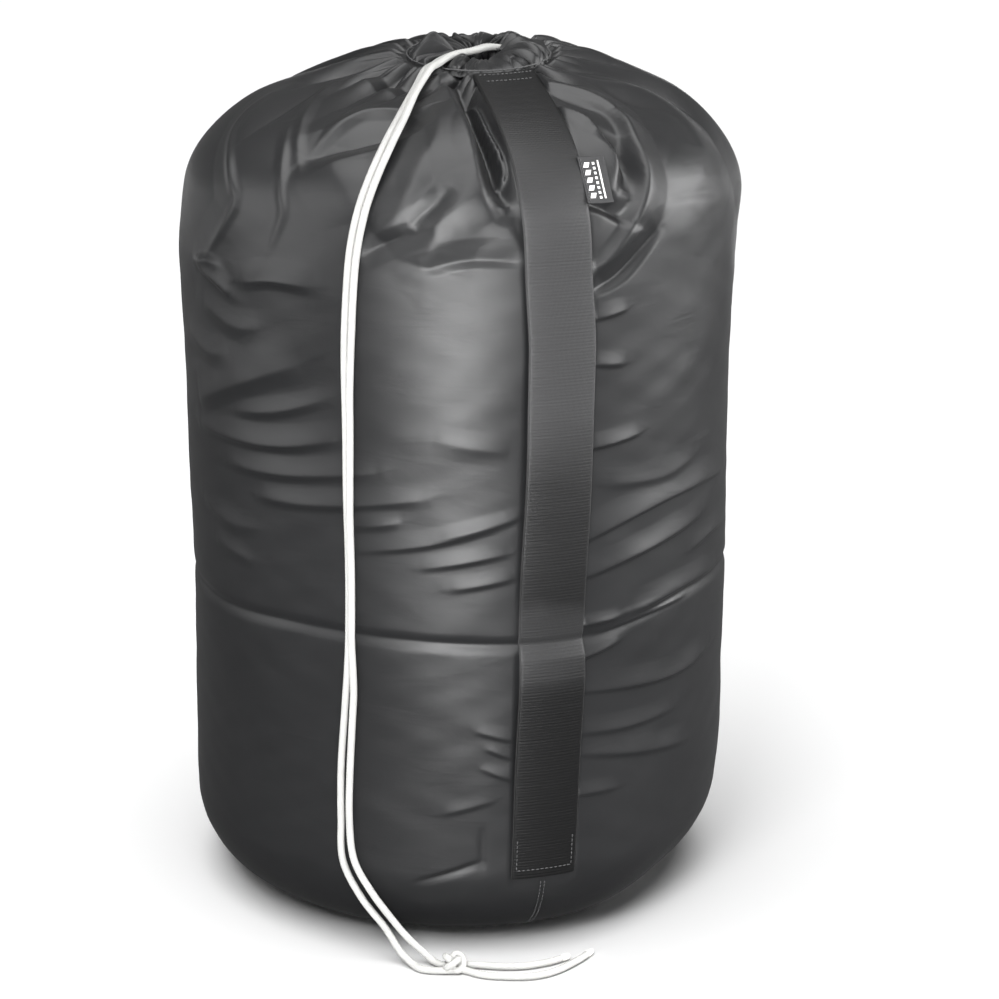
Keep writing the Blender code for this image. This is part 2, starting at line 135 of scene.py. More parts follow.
def add_caps(item, rings):
    """Adds flat faces with sharp edges through lists of an object's vertices."""
    mesh = bmesh.new()
    mesh.from_mesh(item.data)
    mesh.verts.ensure_lookup_table()
    for ring in rings:
        face = mesh.faces.new([mesh.verts[k] for k in ring])
        for edge in face.edges:
            edge.smooth = False
    bmesh.ops.recalc_face_normals(mesh, faces=mesh.faces)
    mesh.to_mesh(item.data)
    mesh.free()


def cap_rings(item, starts, sides):
    """Closes rings of a lofted mesh, each given by its first vertex."""
    add_caps(item, [range(start, start + sides) for start in starts])


def close_ends(item, shape):
    """Caps the first and last ring of a flat loop, as strips between its two faces."""
    rows, columns = shape[:2]
    add_caps(item, [(first + i, first + i + 1, first + columns - 2 - i, first + columns - 1 - i)
                    for first in (0, (rows - 1) * columns) for i in range(columns // 2 - 1)])


def smooth_route(points, steps=12):
    """A Catmull-Rom curve through the given points, as an array."""
    p = np.array(points, float)
    p = np.vstack([2 * p[0] - p[1], p, 2 * p[-1] - p[-2]])
    t = (np.arange(steps) / steps)[:, None]
    parts = []
    for a, b, c, d in zip(p, p[1:], p[2:], p[3:]):
        parts.append(0.5 * (2 * b + (c - a) * t + (2 * a - 5 * b + 4 * c - d) * t ** 2
                            + (3 * b - a - 3 * c + d) * t ** 3))
    return np.vstack(parts + [p[-2][None]])


def even_steps(points, spacing):
    lengths = np.concatenate([[0], np.cumsum(np.linalg.norm(np.diff(points, axis=0), axis=1))])
    count = max(2, int(round(lengths[-1] / spacing)) + 1)
    targets = np.linspace(0, lengths[-1], count)
    return np.stack([np.interp(targets, lengths, points[:, k]) for k in range(3)], axis=-1)


def unit(vectors):
    return vectors / np.linalg.norm(vectors, axis=-1, keepdims=True)


def ramp(x, low, high):
    """Rises smoothly from 0 at low to 1 at high."""
    t = np.clip((x - low) / (high - low), 0, 1)
    return t * t * (3 - 2 * t)


def full_turn(count):
    """Even angles around the sack, from the back over the front to the back."""
    return np.linspace(-math.pi, math.pi, count, endpoint=False)


def swell(x, middle, width):
    """A smooth hump, 1 at its middle."""
    return np.exp(-((x - middle) / width) ** 2)


# ------------------------------------------------------------------ the sack's surface
def build_outline():
    """Arc length, radius and height along the sack from base seam to casing hem."""
    flat = BASE_RADIUS - BASE_FILLET
    turn = np.linspace(math.asin((SEAM_RADIUS - flat) / BASE_FILLET), math.pi / 2, 60)
    radius = [flat + BASE_FILLET * np.sin(turn)]
    height = [BASE_FILLET * (1 - np.cos(turn))]
    rise = np.linspace(0, 1, 200)[1:]
    radius.append(BASE_RADIUS * (1 - rise) * (1 - 2 * rise)
                  + WAIST_RADIUS * 4 * rise * (1 - rise)
                  + SHOULDER_RADIUS * rise * (2 * rise - 1))
    height.append(BASE_FILLET + (SHOULDER_HEIGHT - BASE_FILLET) * rise)
    lean = np.linspace(0, math.pi / 2, 900)[1:]
    dome_radius = DOME_INNER + (SHOULDER_RADIUS - DOME_INNER) * np.cos(lean) ** (2 / DOME_SLOPE)
    dome_height = SHOULDER_HEIGHT + DOME_HEIGHT * np.sin(lean) ** (2 / DOME_BULGE)
    keep = dome_radius >= HEM_RADIUS
    radius.append(dome_radius[keep])
    height.append(dome_height[keep])
    radius, height = np.concatenate(radius), np.concatenate(height)
    steps = np.hypot(np.diff(radius), np.diff(height))
    return np.concatenate([[0], np.cumsum(steps)]), radius, height


ARC, OUT_RADIUS, OUT_HEIGHT = build_outline()
ARC_TOTAL = float(ARC[-1])
ARC_SHOULDER = float(np.interp(SHOULDER_HEIGHT, OUT_HEIGHT, ARC))
HEM_HEIGHT = float(OUT_HEIGHT[-1])
STRAP_END = ARC_TOTAL - 0.009


def radius_at(arc):
    return np.interp(arc, ARC, OUT_RADIUS)


def pull_at(radius, height):
    """How far a ring of the sack is drawn to the mouth, from 0 to 1."""
    share = np.clip((SHOULDER_RADIUS - radius) / (SHOULDER_RADIUS - HEM_RADIUS), 0, 1)
    return np.where(height >= SHOULDER_HEIGHT, share ** 2, 0.0)


def place(radius, height, angle, pull):
    """Points around the sack, tilted and shifted to the mouth by their share of pull."""
    x = radius * np.sin(angle)
    y = -radius * np.cos(angle)
    z = height + pull * math.sin(MOUTH_TILT) * y
    return np.stack([x, y, z], -1) + pull[..., None] * MOUTH_SHIFT


def surface(arc, angle):
    """Points of the plain sack, without its folds."""
    radius, height = radius_at(arc), np.interp(arc, ARC, OUT_HEIGHT)
    return place(radius, height, angle, pull_at(radius, height))


def surface_frame(arc, angle):
    """Point, sideways unit vector and outward normal of the plain sack."""
    step, turn = 0.0015, 0.004
    sideways = unit(surface(arc, angle + turn) - surface(arc, angle - turn))
    upward = unit(surface(np.minimum(arc + step, ARC_TOTAL), angle)
                  - surface(np.maximum(arc - step, 0), angle))
    return surface(arc, angle), sideways, unit(np.cross(sideways, upward))


# ------------------------------------------------------------------ folds in the cloth
# Every fold is a line on the sack given as (degrees around, millimetres up the cloth), its
# height in millimetres, and how wide it is to its left and right, or above and below.
TOP_FOLDS = [
    # broad ridges and hollows, left of the notch
    ([(-84, 640), (-60, 580), (-50, 529), (-60, 485)], 4.0, 22, 14),
    ([(-27, 590), (-27, 566), (-22, 545), (-20, 525)], 3.0, 18, 16),
    ([(-14, 632), (-21, 628), (-29, 619), (-33, 597), (-36, 570)], 5.0, 4, 14),
    ([(-37, 568), (-30, 582), (-20, 602), (-12, 618)], -8.0, 12, 10),
    ([(-66, 682), (-44, 676), (-22, 668)], -6.0, 9, 7),
    # the lobe beside the notch, its lower facets, and the notch itself
    ([(-10, 640), (-5, 601), (-7, 567), (-11, 536), (-16, 518)], 5.0, 16, 12),
    ([(-21, 697), (-3, 645), (2.5, 603), (3.5, 572), (5, 553), (9, 530)], 7.0, 4, 16),
    ([(6, 546), (0, 538), (-4, 522), (-6, 498)], 5.0, 16, 12),
    ([(-1, 550), (-5, 536), (-9, 526)], -4.0, 5, 5),
    ([(-4, 524), (-12, 516), (-19, 504)], -3.5, 6, 5),
    ([(-7, 498), (2, 504), (12, 503)], -2.5, 8, 3),
    ([(-15, 700), (-0.5, 658), (5.2, 612), (7.2, 578), (7.8, 556), (9.5, 536)], -20, 6.5, 6.5),
    # right of the strap
    ([(29, 628), (33, 597), (34.5, 568), (31, 540)], 5.0, 3, 12),
    ([(30, 672), (42, 640), (45, 608), (41, 575), (39.3, 548), (36, 528),
      (31, 508), (26, 490)], 8.0, 12, 4.0),
    ([(34, 590), (37, 572), (37, 556), (34, 543)], -9.0, 5, 5),
    ([(23, 541), (29, 533), (35, 521)], -8.0, 7, 3),
    ([(25, 480), (33, 490), (42, 516)], -6.0, 8, 3),
    ([(58, 660), (56, 620), (66, 592), (62, 560)], -2.8, 14, 10),
    ([(66, 660), (70, 605), (64, 560), (50, 525)], 3.0, 22, 16),
    ([(45, 534), (54, 533), (64, 529)], -1.4, 6, 3),
    ([(92, 655), (86, 595), (82, 550), (88, 500)], 5.0, 22, 16),
]
THIN_RIDGES = [
    ([(-78, 618), (-67, 585), (-57, 562), (-51, 545), (-48, 531), (-52, 512),
      (-58, 494)], 2.6, 3.0, 4.0),
    ([(-49, 602), (-43, 580), (-39, 558), (-37, 540), (-36, 526), (-39, 502)], 2.2, 2.6, 4.0),
    ([(-72, 660), (-60, 640), (-52, 624), (-44, 600), (-37, 571)], 2.8, 3.0, 5.0),
    ([(-2, 662), (3.6, 645), (7.0, 608), (8.8, 580), (9.2, 562), (8.0, 549)], 9.0, 1.9, 1.9),
    ([(27, 634), (31, 612), (33.5, 594), (34.5, 570)], 2.4, 2.4, 4.0),
    ([(33, 655), (40, 632), (43, 612), (42, 590)], 2.2, 3.0, 3.0),
    ([(-66, 484), (-58, 489), (-53, 487)], 2.2, 2.6, 3.0),
]
# On the wall: the tucks that the full sack's cloth takes, mostly level, left to right.
WALL_FOLDS = [
    ([(-66, 389), (-50, 411), (-31, 434)], 4.0, 14.9, 6.8),
    ([(-50, 392), (-38, 399), (-26, 411)], 2.4, 5.6, 3.4),
    ([(-66, 373), (-40, 376), (-23, 386)], 3.3, 7.4, 3.6),
    ([(-54, 355), (-36, 358), (-15, 367)], 2.9, 6.8, 3.6),
    ([(-44, 338), (-29, 341), (-6, 350)], 2.5, 6.2, 3.4),
    ([(-22, 329), (-11, 334)], 1.8, 5, 3.2),
    ([(-21, 312), (-6, 320), (9, 332)], 1.7, 5.6, 2.4),
    ([(-8, 303), (10, 313)], 1.5, 5, 2.2),
    ([(-2, 289), (11, 296)], 1.4, 5, 2.2),
    ([(-5, 389), (10, 380)], 1.3, 6.2, 6),
    ([(-4, 324), (12, 337)], 1.5, 4.3, 2.2),
    ([(-64, 484), (-56, 479), (-50, 469)], 3.5, 6.8, 4),
    ([(-47, 480), (-38, 486), (-28, 484)], 3.5, 7.4, 4),
    ([(-62, 459), (-50, 450), (-41, 452)], 1.9, 6.8, 6),
    ([(-72, 434), (-60, 427), (-51, 431)], 2.1, 6.8, 6),
    ([(-66, 322), (-54, 313), (-43, 316)], 1.5, 6.2, 4.4),
    ([(-60, 297), (-45, 291)], 1.4, 5.6, 4.4),
    ([(26, 463), (34, 467)], 1.9, 5, 1.6),
    ([(26, 434), (34, 431)], 1.6, 5, 1.6),
    ([(25, 378), (38, 383)], 2.3, 5, 1.6),
    ([(24, 315), (34, 326), (45, 334), (58, 336), (74, 333)], 2.8, 9, 1.8),
    ([(24, 291), (40, 303), (60, 313)], 2.4, 7.4, 2),
    ([(36, 262), (52, 268), (70, 267)], 2.2, 7.4, 2),
    ([(24, 259), (34, 261)], 1.9, 3.7, 1.6),
    ([(26, 251), (40, 258), (54, 260)], 2.3, 5, 1.7),
    ([(23, 235), (34, 244)], 2.2, 4.3, 1.6),
    ([(23, 213), (49, 207), (66, 213)], 1.6, 8, 1.6),
    ([(23, 184), (36, 181), (50, 182)], 1.2, 6.2, 2),
    ([(23, 170), (40, 160), (56, 153)], 1.4, 6.8, 2.2),
    ([(22, 141), (34, 139)], 1.1, 5, 1.8),
    ([(30, 352), (44, 350), (56, 356)], 1.2, 7.4, 3),
    ([(55, 290), (66, 296), (78, 294)], 1.9, 6.2, 2.2),
    ([(-9, 84), (-2, 91), (4, 99)], -1.4, 1.6, 3),
    ([(4.5, 124), (4.5, 92)], -0.9, 1.4, 2.4),
    ([(-4, 133), (7, 143)], 0.9, 5, 1.8),
    ([(3, 192), (11, 184)], 1.1, 4.3, 1.6),
    ([(5, 180), (11, 171)], 1.1, 3.7, 1.6),
    ([(4, 166), (11, 156)], 1.1, 3.7, 1.6),
]
FOLD_REACH = 3.2             # how many times its width a fold is worked out to
# One crease runs all the way around: (degrees around, metres up the cloth).
PACKED_CREASE = [(-180, 0.258), (-120, 0.262), (-62, 0.254), (-34, 0.256), (-12, 0.254),
                 (12, 0.250), (26, 0.251), (39, 0.258), (58, 0.263), (120, 0.257), (180, 0.258)]


def nearest_on(line, angle, arc, radius):
    """How far places on the sack are from a line, on which side of it, and where along."""
    x, y = angle * radius, arc
    away = np.full(x.shape, 1e9)
    side = np.zeros(x.shape)
    along = np.zeros(x.shape)
    count = len(line) - 1
    for i, ((start, ay), (end, by)) in enumerate(zip(line, line[1:])):
        ax, bx = start * radius, end * radius
        dx, dy = bx - ax, by - ay
        t = np.clip(((x - ax) * dx + (y - ay) * dy) / (dx * dx + dy * dy), 0, 1)
        px, py = x - ax - t * dx, y - ay - t * dy
        distance = np.hypot(px, py)
        nearer = distance < away
        away = np.where(nearer, distance, away)
        side = np.where(nearer, (dx * py - dy * px) / np.hypot(dx, dy), side)
        along = np.where(nearer, (i + t) / count, along)
    return away, side, along


class Cloth:
    """Heights and shifts of the cloth over a grid of angle and arc length."""

    def __init__(self, angles, arcs):
        self.angle, self.arc = np.meshgrid(angles, arcs)
        self.radius = radius_at(self.arc)
        self.height = np.zeros_like(self.arc)
        self.sag = np.zeros_like(self.arc)

    def fold(self, line, amount, left, right, tent=0.0, droop=0.0, fade=True):
        """Raises a fold, or with a negative amount sinks one, along a line.

        Its cross-section is round, or as tent goes to 1 made of two flat facets.
        Droop lets the crest hang down over its lower side, and fade thins its ends."""
        points = smooth_route([(math.radians(a), s, 0) for a, s in line], 6)[:, :2]
        reach = FOLD_REACH * max(left, right)
        middle = points[:, 0].mean()
        radius = radius_at(points[:, 1]).mean()
        turn = (self.angle - middle + math.pi) % (2 * math.pi) - math.pi
        span = np.abs(points[:, 0] - middle).max() + reach / radius
        rows = ((self.arc[:, 0] > points[:, 1].min() - reach)
                & (self.arc[:, 0] < points[:, 1].max() + reach))
        columns = np.abs(turn[0]) < span
        if not rows.any() or not columns.any():
            return
        window = np.ix_(rows, columns)
        points[:, 0] -= middle
        away, side, along = nearest_on(points, turn[window], self.arc[window],
                                       self.radius[window])
        lean = 0.5 + 0.5 * np.tanh(side / (0.25 * min(left, right)))
        scaled = away / (right + (left - right) * lean)
        rounded = np.exp(-scaled ** 1.6)
        facets = np.clip(1.06 - np.sqrt((scaled / 1.7) ** 2 + 0.004), 0, None)
        profile = (1 - tent) * rounded + tent * facets
        if fade:
            profile *= np.sin(np.pi * np.clip(along, 0.02, 0.98)) ** 0.6
        self.height[window] += amount * profile
        self.sag[window] += amount * droop * profile

    def points(self):
        point, sideways, outward = surface_frame(self.arc, self.angle)
        upward = np.cross(outward, sideways)
        return point + outward * self.height[..., None] - upward * self.sag[..., None]

    def lift_at(self, angle, arc, reach=0.004):
        """The highest the cloth stands within reach of places on the sack."""
        angles, arcs = self.angle[0], self.arc[:, 0]
        best = np.full(np.shape(angle), -1.0)
        for side in (-1, 0, 1):
            for rise in (-1, 0, 1):
                a = (angle + side * reach / radius_at(arc) + math.pi) % (2 * math.pi) - math.pi
                column = np.clip(np.searchsorted(angles, a), 0, len(angles) - 1)
                row = np.clip(np.searchsorted(arcs, arc + rise * reach), 0, len(arcs) - 1)
                best = np.maximum(best, self.height[row, column])
        return best


def waves(rng, angle, arc, count, turns, lengths):
    """Smooth seeded lumps that close up around the sack, about -1 to 1."""
    total = np.zeros_like(arc)
    for _ in range(count):
        around = rng.integers(turns[0], turns[1] + 1)
        up = 2 * math.pi / rng.uniform(*lengths) * rng.choice([-1, 1])
        total += np.cos(around * angle + up * arc + rng.uniform(0, 2 * math.pi))
    return total / math.sqrt(count)


def pleats(angle, count, warp, sharp):
    """Rounded lobes between sharp valleys, from -1 to 1."""
    return 2 * np.abs(np.cos(0.5 * count * angle + warp)) ** sharp - 1


def gathered(cloth, rng):
    """The folds that run out from the drawn-up mouth, finer and deeper near it."""
    radius, angle, arc = cloth.radius, cloth.angle, cloth.arc
    top = ramp(arc, ARC_SHOULDER - 0.03, ARC_SHOULDER + 0.02)
    warp = 0.7 * waves(rng, angle, arc, 5, (1, 4), (0.25, 0.6))
    front = np.exp(-((angle - math.radians(-5)) / math.radians(75)) ** 4)
    large = pleats(angle, 13, 1.6 * warp, 0.75)
    medium = pleats(angle, 23, 2.0 * warp + 1.0, 0.8)
    fine = pleats(angle, 42, 2.5 * warp, 0.9)
    reach = 1 - ramp(radius, 0.135, 0.188)
    cloth.height += top * (0.0052 * (1 - 0.85 * front) * large * reach
                           * ramp(radius, 0.04, 0.085))
    # The left half lies lower. At the middle of the back this leaves a step of 4 mm.
    left_side = ramp(-angle, -0.3, 0.6)
    cloth.height -= 0.0040 * left_side * top * ramp(radius, 0.05, 0.10)
    free = ramp(radius, HEM_RADIUS + 0.002, HEM_RADIUS + 0.010)
    cloth.height += 0.0026 * medium * (1 - ramp(radius, 0.075, 0.125)) * top * free
    cloth.height += 0.0016 * fine * (1 - ramp(radius, 0.055, 0.085)) * top * free
    cloth.height -= 0.0012 * (1 - free) * top


def back_folds(cloth, rng):
    """Level creases over the part of the wall that the listed folds leave plain."""
    for _ in range(46):
        start = rng.uniform(98, 240)
        arc = rng.uniform(0.09, 0.48)
        length = rng.uniform(8, 26)
        slope = rng.uniform(-0.012, 0.016)
        bend = rng.uniform(-0.006, 0.006)
        line = [(start, arc), (start + length / 2, arc + slope / 2 + bend),
                (start + length, arc + slope)]
        amount = rng.uniform(0.0012, 0.0030)
        cloth.fold(line, amount, rng.uniform(0.008, 0.014), rng.uniform(0.0016, 0.0026),
                   droop=0.5)


def eased(arc, knots, values, reach):
    """Reads a table between its knots, with its corners rounded over reach."""
    shifts = np.linspace(-reach, reach, 9)
    weights = np.cos(shifts / reach * math.pi / 2.2) ** 2
    read = [np.interp(arc + shift, knots, values) * weight
            for shift, weight in zip(shifts, weights)]
    return sum(read) / weights.sum()


def strap_angle(arc):
    """Where the middle of the strap lies around the sack, in radians."""
    knots = [0.03, 0.10, 0.19, 0.28, 0.38, 0.45, 0.52, 0.54, 0.575, 0.66, ARC_TOTAL]
    degrees = [16.4, 16.8, 17.8, 18.4, 19.6, 20.0, 18.7, 18.1, 18.3, 19.2, 19.6]
    return np.radians(eased(arc, knots, degrees, 0.018))


def raise_folds(cloth, table, tent, droop=0.0):
    """Raises a table's folds, whose measures are millimetres."""
    for line, amount, left, right in table:
        cloth.fold([(degrees, arc / 1000) for degrees, arc in line],
                   amount / 1000, left / 1000, right / 1000, tent, droop)


def press_under_strap(cloth):
    """Flattens the cloth where the strap lies on it."""
    across = np.abs(cloth.angle - strap_angle(cloth.arc)) * cloth.radius
    covered = ramp(cloth.arc, STRAP_START - 0.012, STRAP_START)
    under = covered * (1 - np.where(cloth.height > -STRAP_SINK, ramp(across, 0.0195, 0.0245),
                                    ramp(across, 0.014, 0.021)))
    cloth.height = cloth.height * (1 - under) - STRAP_SINK * under
    cloth.sag *= 1 - under


def build_cloth(columns, rows):
    """The whole cloth from base seam to casing hem, with every fold in it."""
    rng = np.random.default_rng(SEED)
    cloth = Cloth(full_turn(columns), np.linspace(0, ARC_TOTAL, rows))
    gathered(cloth, rng)
    raise_folds(cloth, TOP_FOLDS, tent=0.7)
    raise_folds(cloth, THIN_RIDGES, tent=0.5)
    wall = ramp(cloth.arc, 0.02, 0.09) * (1 - ramp(cloth.arc, 0.50, 0.58))
    cloth.height += 0.0006 * wall * waves(rng, cloth.angle, cloth.arc, 9, (2, 7), (0.12, 0.40))
    cloth.height += 0.00012 * wall * waves(rng, cloth.angle, cloth.arc, 14, (4, 26), (0.02, 0.06))
    raise_folds(cloth, WALL_FOLDS, tent=0.4, droop=0.5)
    back_folds(cloth, rng)
    # Low on the right the wall draws in above the base seam.
    low_right = ramp(cloth.angle, 0.50, 1.05) * (1 - ramp(cloth.angle, 1.9, 2.7))
    cloth.height -= (0.0085 * low_right * ramp(cloth.arc, 0.0, 0.025)
                     * (1 - ramp(cloth.arc, 0.05, 0.15)))
    cloth.fold(PACKED_CREASE, -0.0020, 0.0035, 0.0040, tent=0.3, fade=False)
    press_under_strap(cloth)
    return cloth


# ------------------------------------------------------------------ materials
class Nodes:
    """A short way to lay out a procedural material."""

    def __init__(self, name):
        self.material = bpy.data.materials.new(name)
        self.material.use_nodes = True
        self.tree = self.material.node_tree
        self.shader = self.tree.nodes["Principled BSDF"]

    def add(self, kind, **values):
        node = self.tree.nodes.new(kind)
        for key, value in values.items():
            if key in node.inputs:
                node.inputs[key].default_value = value
            else:
                setattr(node, key, value)
        return node

    def join(self, source, target):
        self.tree.links.new(source, target)

    def math(self, operation, first, second=None):
        node = self.add("ShaderNodeMath", operation=operation)
        for socket, value in zip(node.inputs, (first, second)):
            if value is None:
                continue
            if isinstance(value, (int, float)):
                socket.default_value = value
            else:
                self.join(value, socket)
        return node.outputs[0]

    def blend(self, factor, low, high):
        node = self.add("ShaderNodeMix", data_type="RGBA")
        self.join(factor, node.inputs["Factor"])
        node.inputs["A"].default_value = (*low, 1)
        node.inputs["B"].default_value = (*high, 1)
        return node.outputs["Result"]

    def bump(self, height, strength, distance, below=None):
        node = self.add("ShaderNodeBump", Strength=strength, Distance=distance)
        self.join(height, node.inputs["Height"])
        if below is not None:
            self.join(below, node.inputs["Normal"])
        return node.outputs["Normal"]

    def noise(self, vector=None, **values):
        """A noise texture, read at the piece's own place unless given another vector."""
        node = self.add("ShaderNodeTexNoise", **values)
        self.join(vector or self.place, node.inputs["Vector"])
        return node.outputs["Fac"]

    @property
    def place(self):
        return self.add("ShaderNodeTexCoord").outputs["Object"]

    def split(self, vector):
        node = self.add("ShaderNodeSeparateXYZ")
        self.join(vector, node.inputs["Vector"])
        return node.outputs

    def split_uv(self):
        return self.split(self.add("ShaderNodeUVMap", uv_map="cloth").outputs["UV"])

    def between(self, share, low, high):
        """A value from low to high as share goes from 0 to 1."""
        node = self.add("ShaderNodeMapRange")
        node.inputs["To Min"].default_value = low
        node.inputs["To Max"].default_value = high
        self.join(share, node.inputs["Value"])
        return node.outputs["Result"]

    def finish(self, **looks):
        """Gives the shader its looks, named with _ for space: a value, or a node's output."""
        for name, look in looks.items():
            socket = self.shader.inputs[name.replace("_", " ")]
            if isinstance(look, (float, tuple)):
                socket.default_value = look
            else:
                self.join(look, socket)
        return self.material


def nylon_material():
    """Thin satin nylon taffeta: fine plain weave, soft crinkles, uneven sheen."""
    made = Nodes("black_nylon")
    stretch = made.add("ShaderNodeMapping")
    stretch.inputs["Scale"].default_value = (0.55, 0.55, 1.7)
    made.join(made.place, stretch.inputs["Vector"])
    crinkle = made.noise(stretch.outputs["Vector"], Scale=34.0, Detail=5.0, Roughness=0.55,
                         Distortion=0.9)
    patches = made.noise(Scale=7.0, Detail=3.0, Roughness=0.5)
    cloth_place = made.split_uv()
    thread = 2 * math.pi / 0.0009
    warp, weft = (made.math("SINE", made.math("MULTIPLY", cloth_place[axis], thread))
                  for axis in "XY")
    soft = made.bump(crinkle, 0.22, 0.0010)
    return made.finish(
        Base_Color=made.blend(patches, (0.0068, 0.0070, 0.0075), (0.0110, 0.0112, 0.0120)),
        Roughness=made.between(patches, 0.36, 0.47),
        Normal=made.bump(made.math("MULTIPLY", warp, weft), 0.25, 0.00006, soft),
        Specular_IOR_Level=0.5, Sheen_Weight=0.02, Sheen_Roughness=0.4)


# Painted light and shade on the webbing, by height up the sack, grey 0 to 1: painted highlight
# bands just below the packed crease and high on the wall, painted shade at the top and the foot.
STRAP_PAINTED_LIGHT = [(0.0, 0.02), (0.185, 0.05), (0.212, 0.45), (0.238, 0.42), (0.249, 0.12),
              (0.325, 0.22), (0.375, 0.75), (0.500, 0.80), (0.540, 0.25), (0.575, 0.03)]


def webbing_material():
    """Ribbed polypropylene webbing, with a fine herringbone between its ribs."""
    made = Nodes("black_webbing")
    yarn = 2 * math.pi / 0.0016
    across, along = (made.math("MULTIPLY", axis, yarn) for axis in made.split_uv()[:2])
    twill = made.math("MULTIPLY", made.math("SINE", made.math("ADD", across, along)),
                      made.math("SINE", made.math("SUBTRACT", across, along)))
    speck = made.noise(Scale=900.0, Detail=2.0)
    # A noise that wobbles the edges of the painted light and shade bands.
    band_wobble = made.noise(Scale=22.0, Detail=4.0)
    uneven = made.math("MULTIPLY", made.math("SUBTRACT", band_wobble, 0.5), 0.03)
    # The base colour goes lighter and darker by height: painted light and shade, and the
    # roughness follows it.
    height_shading_ramp = made.add("ShaderNodeValToRGB")
    made.join(made.math("ADD", made.split(made.place)["Z"], uneven), height_shading_ramp.inputs["Fac"])
    stops = height_shading_ramp.color_ramp.elements
    for height, _ in STRAP_PAINTED_LIGHT[1:-1]:
        stops.new(height)
    for stop, (height, grey) in zip(stops, STRAP_PAINTED_LIGHT):
        stop.position, stop.color = height, (grey, grey, grey, 1)
    painted_shading = height_shading_ramp.outputs["Color"]
    return made.finish(
        Base_Color=made.blend(painted_shading, (0.0030, 0.0030, 0.0031), (0.040, 0.040, 0.041)),
        Roughness=made.between(painted_shading, 0.44, 0.40),
        Normal=made.bump(made.math("ADD", twill, speck), 0.4, 0.00012),
        Specular_IOR_Level=0.28)


def cord_material():
    """White braid, slightly soiled in patches."""
    made = Nodes("white_braid")
    fibre = made.noise(Scale=1800.0, Detail=3.0, Roughness=0.7)
    dirt = made.noise(Scale=60.0, Detail=4.0)
    return made.finish(Base_Color=made.blend(dirt, (0.34, 0.34, 0.33), (0.47, 0.47, 0.455)),
                       Normal=made.bump(fibre, 0.5, 0.0002), Roughness=0.72, Sheen_Weight=0.1)


def plain_cloth_material(name, low, high, roughness, scale):
    """A noise-mottled cloth, for thread, binding, label and cord tips."""
    made = Nodes(name)
    grain = made.noise(Scale=scale, Detail=4.0, Roughness=0.6)
    return made.finish(Base_Color=made.blend(grain, low, high),
                       Normal=made.bump(grain, 0.5, 0.0002), Roughness=roughness)


def backdrop_material():
    return Nodes("backdrop_white").finish(
        Base_Color=(0.0, 0.0, 0.0, 1.0), Emission_Color=(1.0, 1.0, 1.0, 1.0),
        Emission_Strength=1.0)


def floor_material():
    made = Nodes("pale_floor")
    grain = made.noise(Scale=3.0, Detail=2.0)
    return made.finish(Base_Color=made.blend(grain, (0.90, 0.90, 0.90), (0.92, 0.92, 0.92)),
                       Roughness=0.9, Specular_IOR_Level=0.1)


NYLON = nylon_material()
WEBBING = webbing_material()
BRAID = cord_material()
THREAD = plain_cloth_material("black_thread", (0.035, 0.035, 0.036), (0.09, 0.09, 0.092),
                              0.55, 1500.0)
BINDING = plain_cloth_material("black_binding", (0.015, 0.015, 0.016), (0.03, 0.03, 0.03),
                               0.8, 700.0)
LABEL_GROUND = plain_cloth_material("label_ground", (0.012, 0.012, 0.013),
                                    (0.024, 0.024, 0.025), 0.6, 1400.0)
LABEL_WHITE = plain_cloth_material("label_white", (0.72, 0.72, 0.71), (0.88, 0.88, 0.87),
                                   0.6, 1400.0)
CORD_TIP = plain_cloth_material("melted_cord", (0.70, 0.69, 0.64), (0.86, 0.85, 0.82),
                                0.3, 500.0)


# ------------------------------------------------------------------ the fabric body
def make_sack(cloth):
    """The side panel's cloth, with the casing that is its folded hem."""
    sack = grid_object("sack_cloth", cloth.points(), NYLON,
                       uv_scale=(2 * math.pi * WAIST_RADIUS, ARC_TOTAL))
    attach(sack, "sack")
    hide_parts("side_panel")
    make_casing()


def make_base():
    """The round bottom panel, pulled slightly into folds at its seam."""
    rng = np.random.default_rng(SEED + 1)
    rings, columns = 26, 180
    spin, out = np.meshgrid(full_turn(columns), np.linspace(0.02, 1, rings))
    lift = 0.0004 + 0.0022 * ramp(out, 0.8, 1) * (1 + waves(rng, spin, out, 8, (6, 30), (0.3, 2)))
    lift = np.maximum(lift, 0.0002)
    radius = out * SEAM_RADIUS
    grid = np.stack([radius * np.sin(spin), -radius * np.cos(spin), lift], -1)
    base = grid_object("base_cloth", grid[::-1], NYLON, uv_scale=(0.85, SEAM_RADIUS))
    cap_rings(base, [(rings - 1) * columns], columns)
    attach(base, "sack")
    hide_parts("bottom_panel")


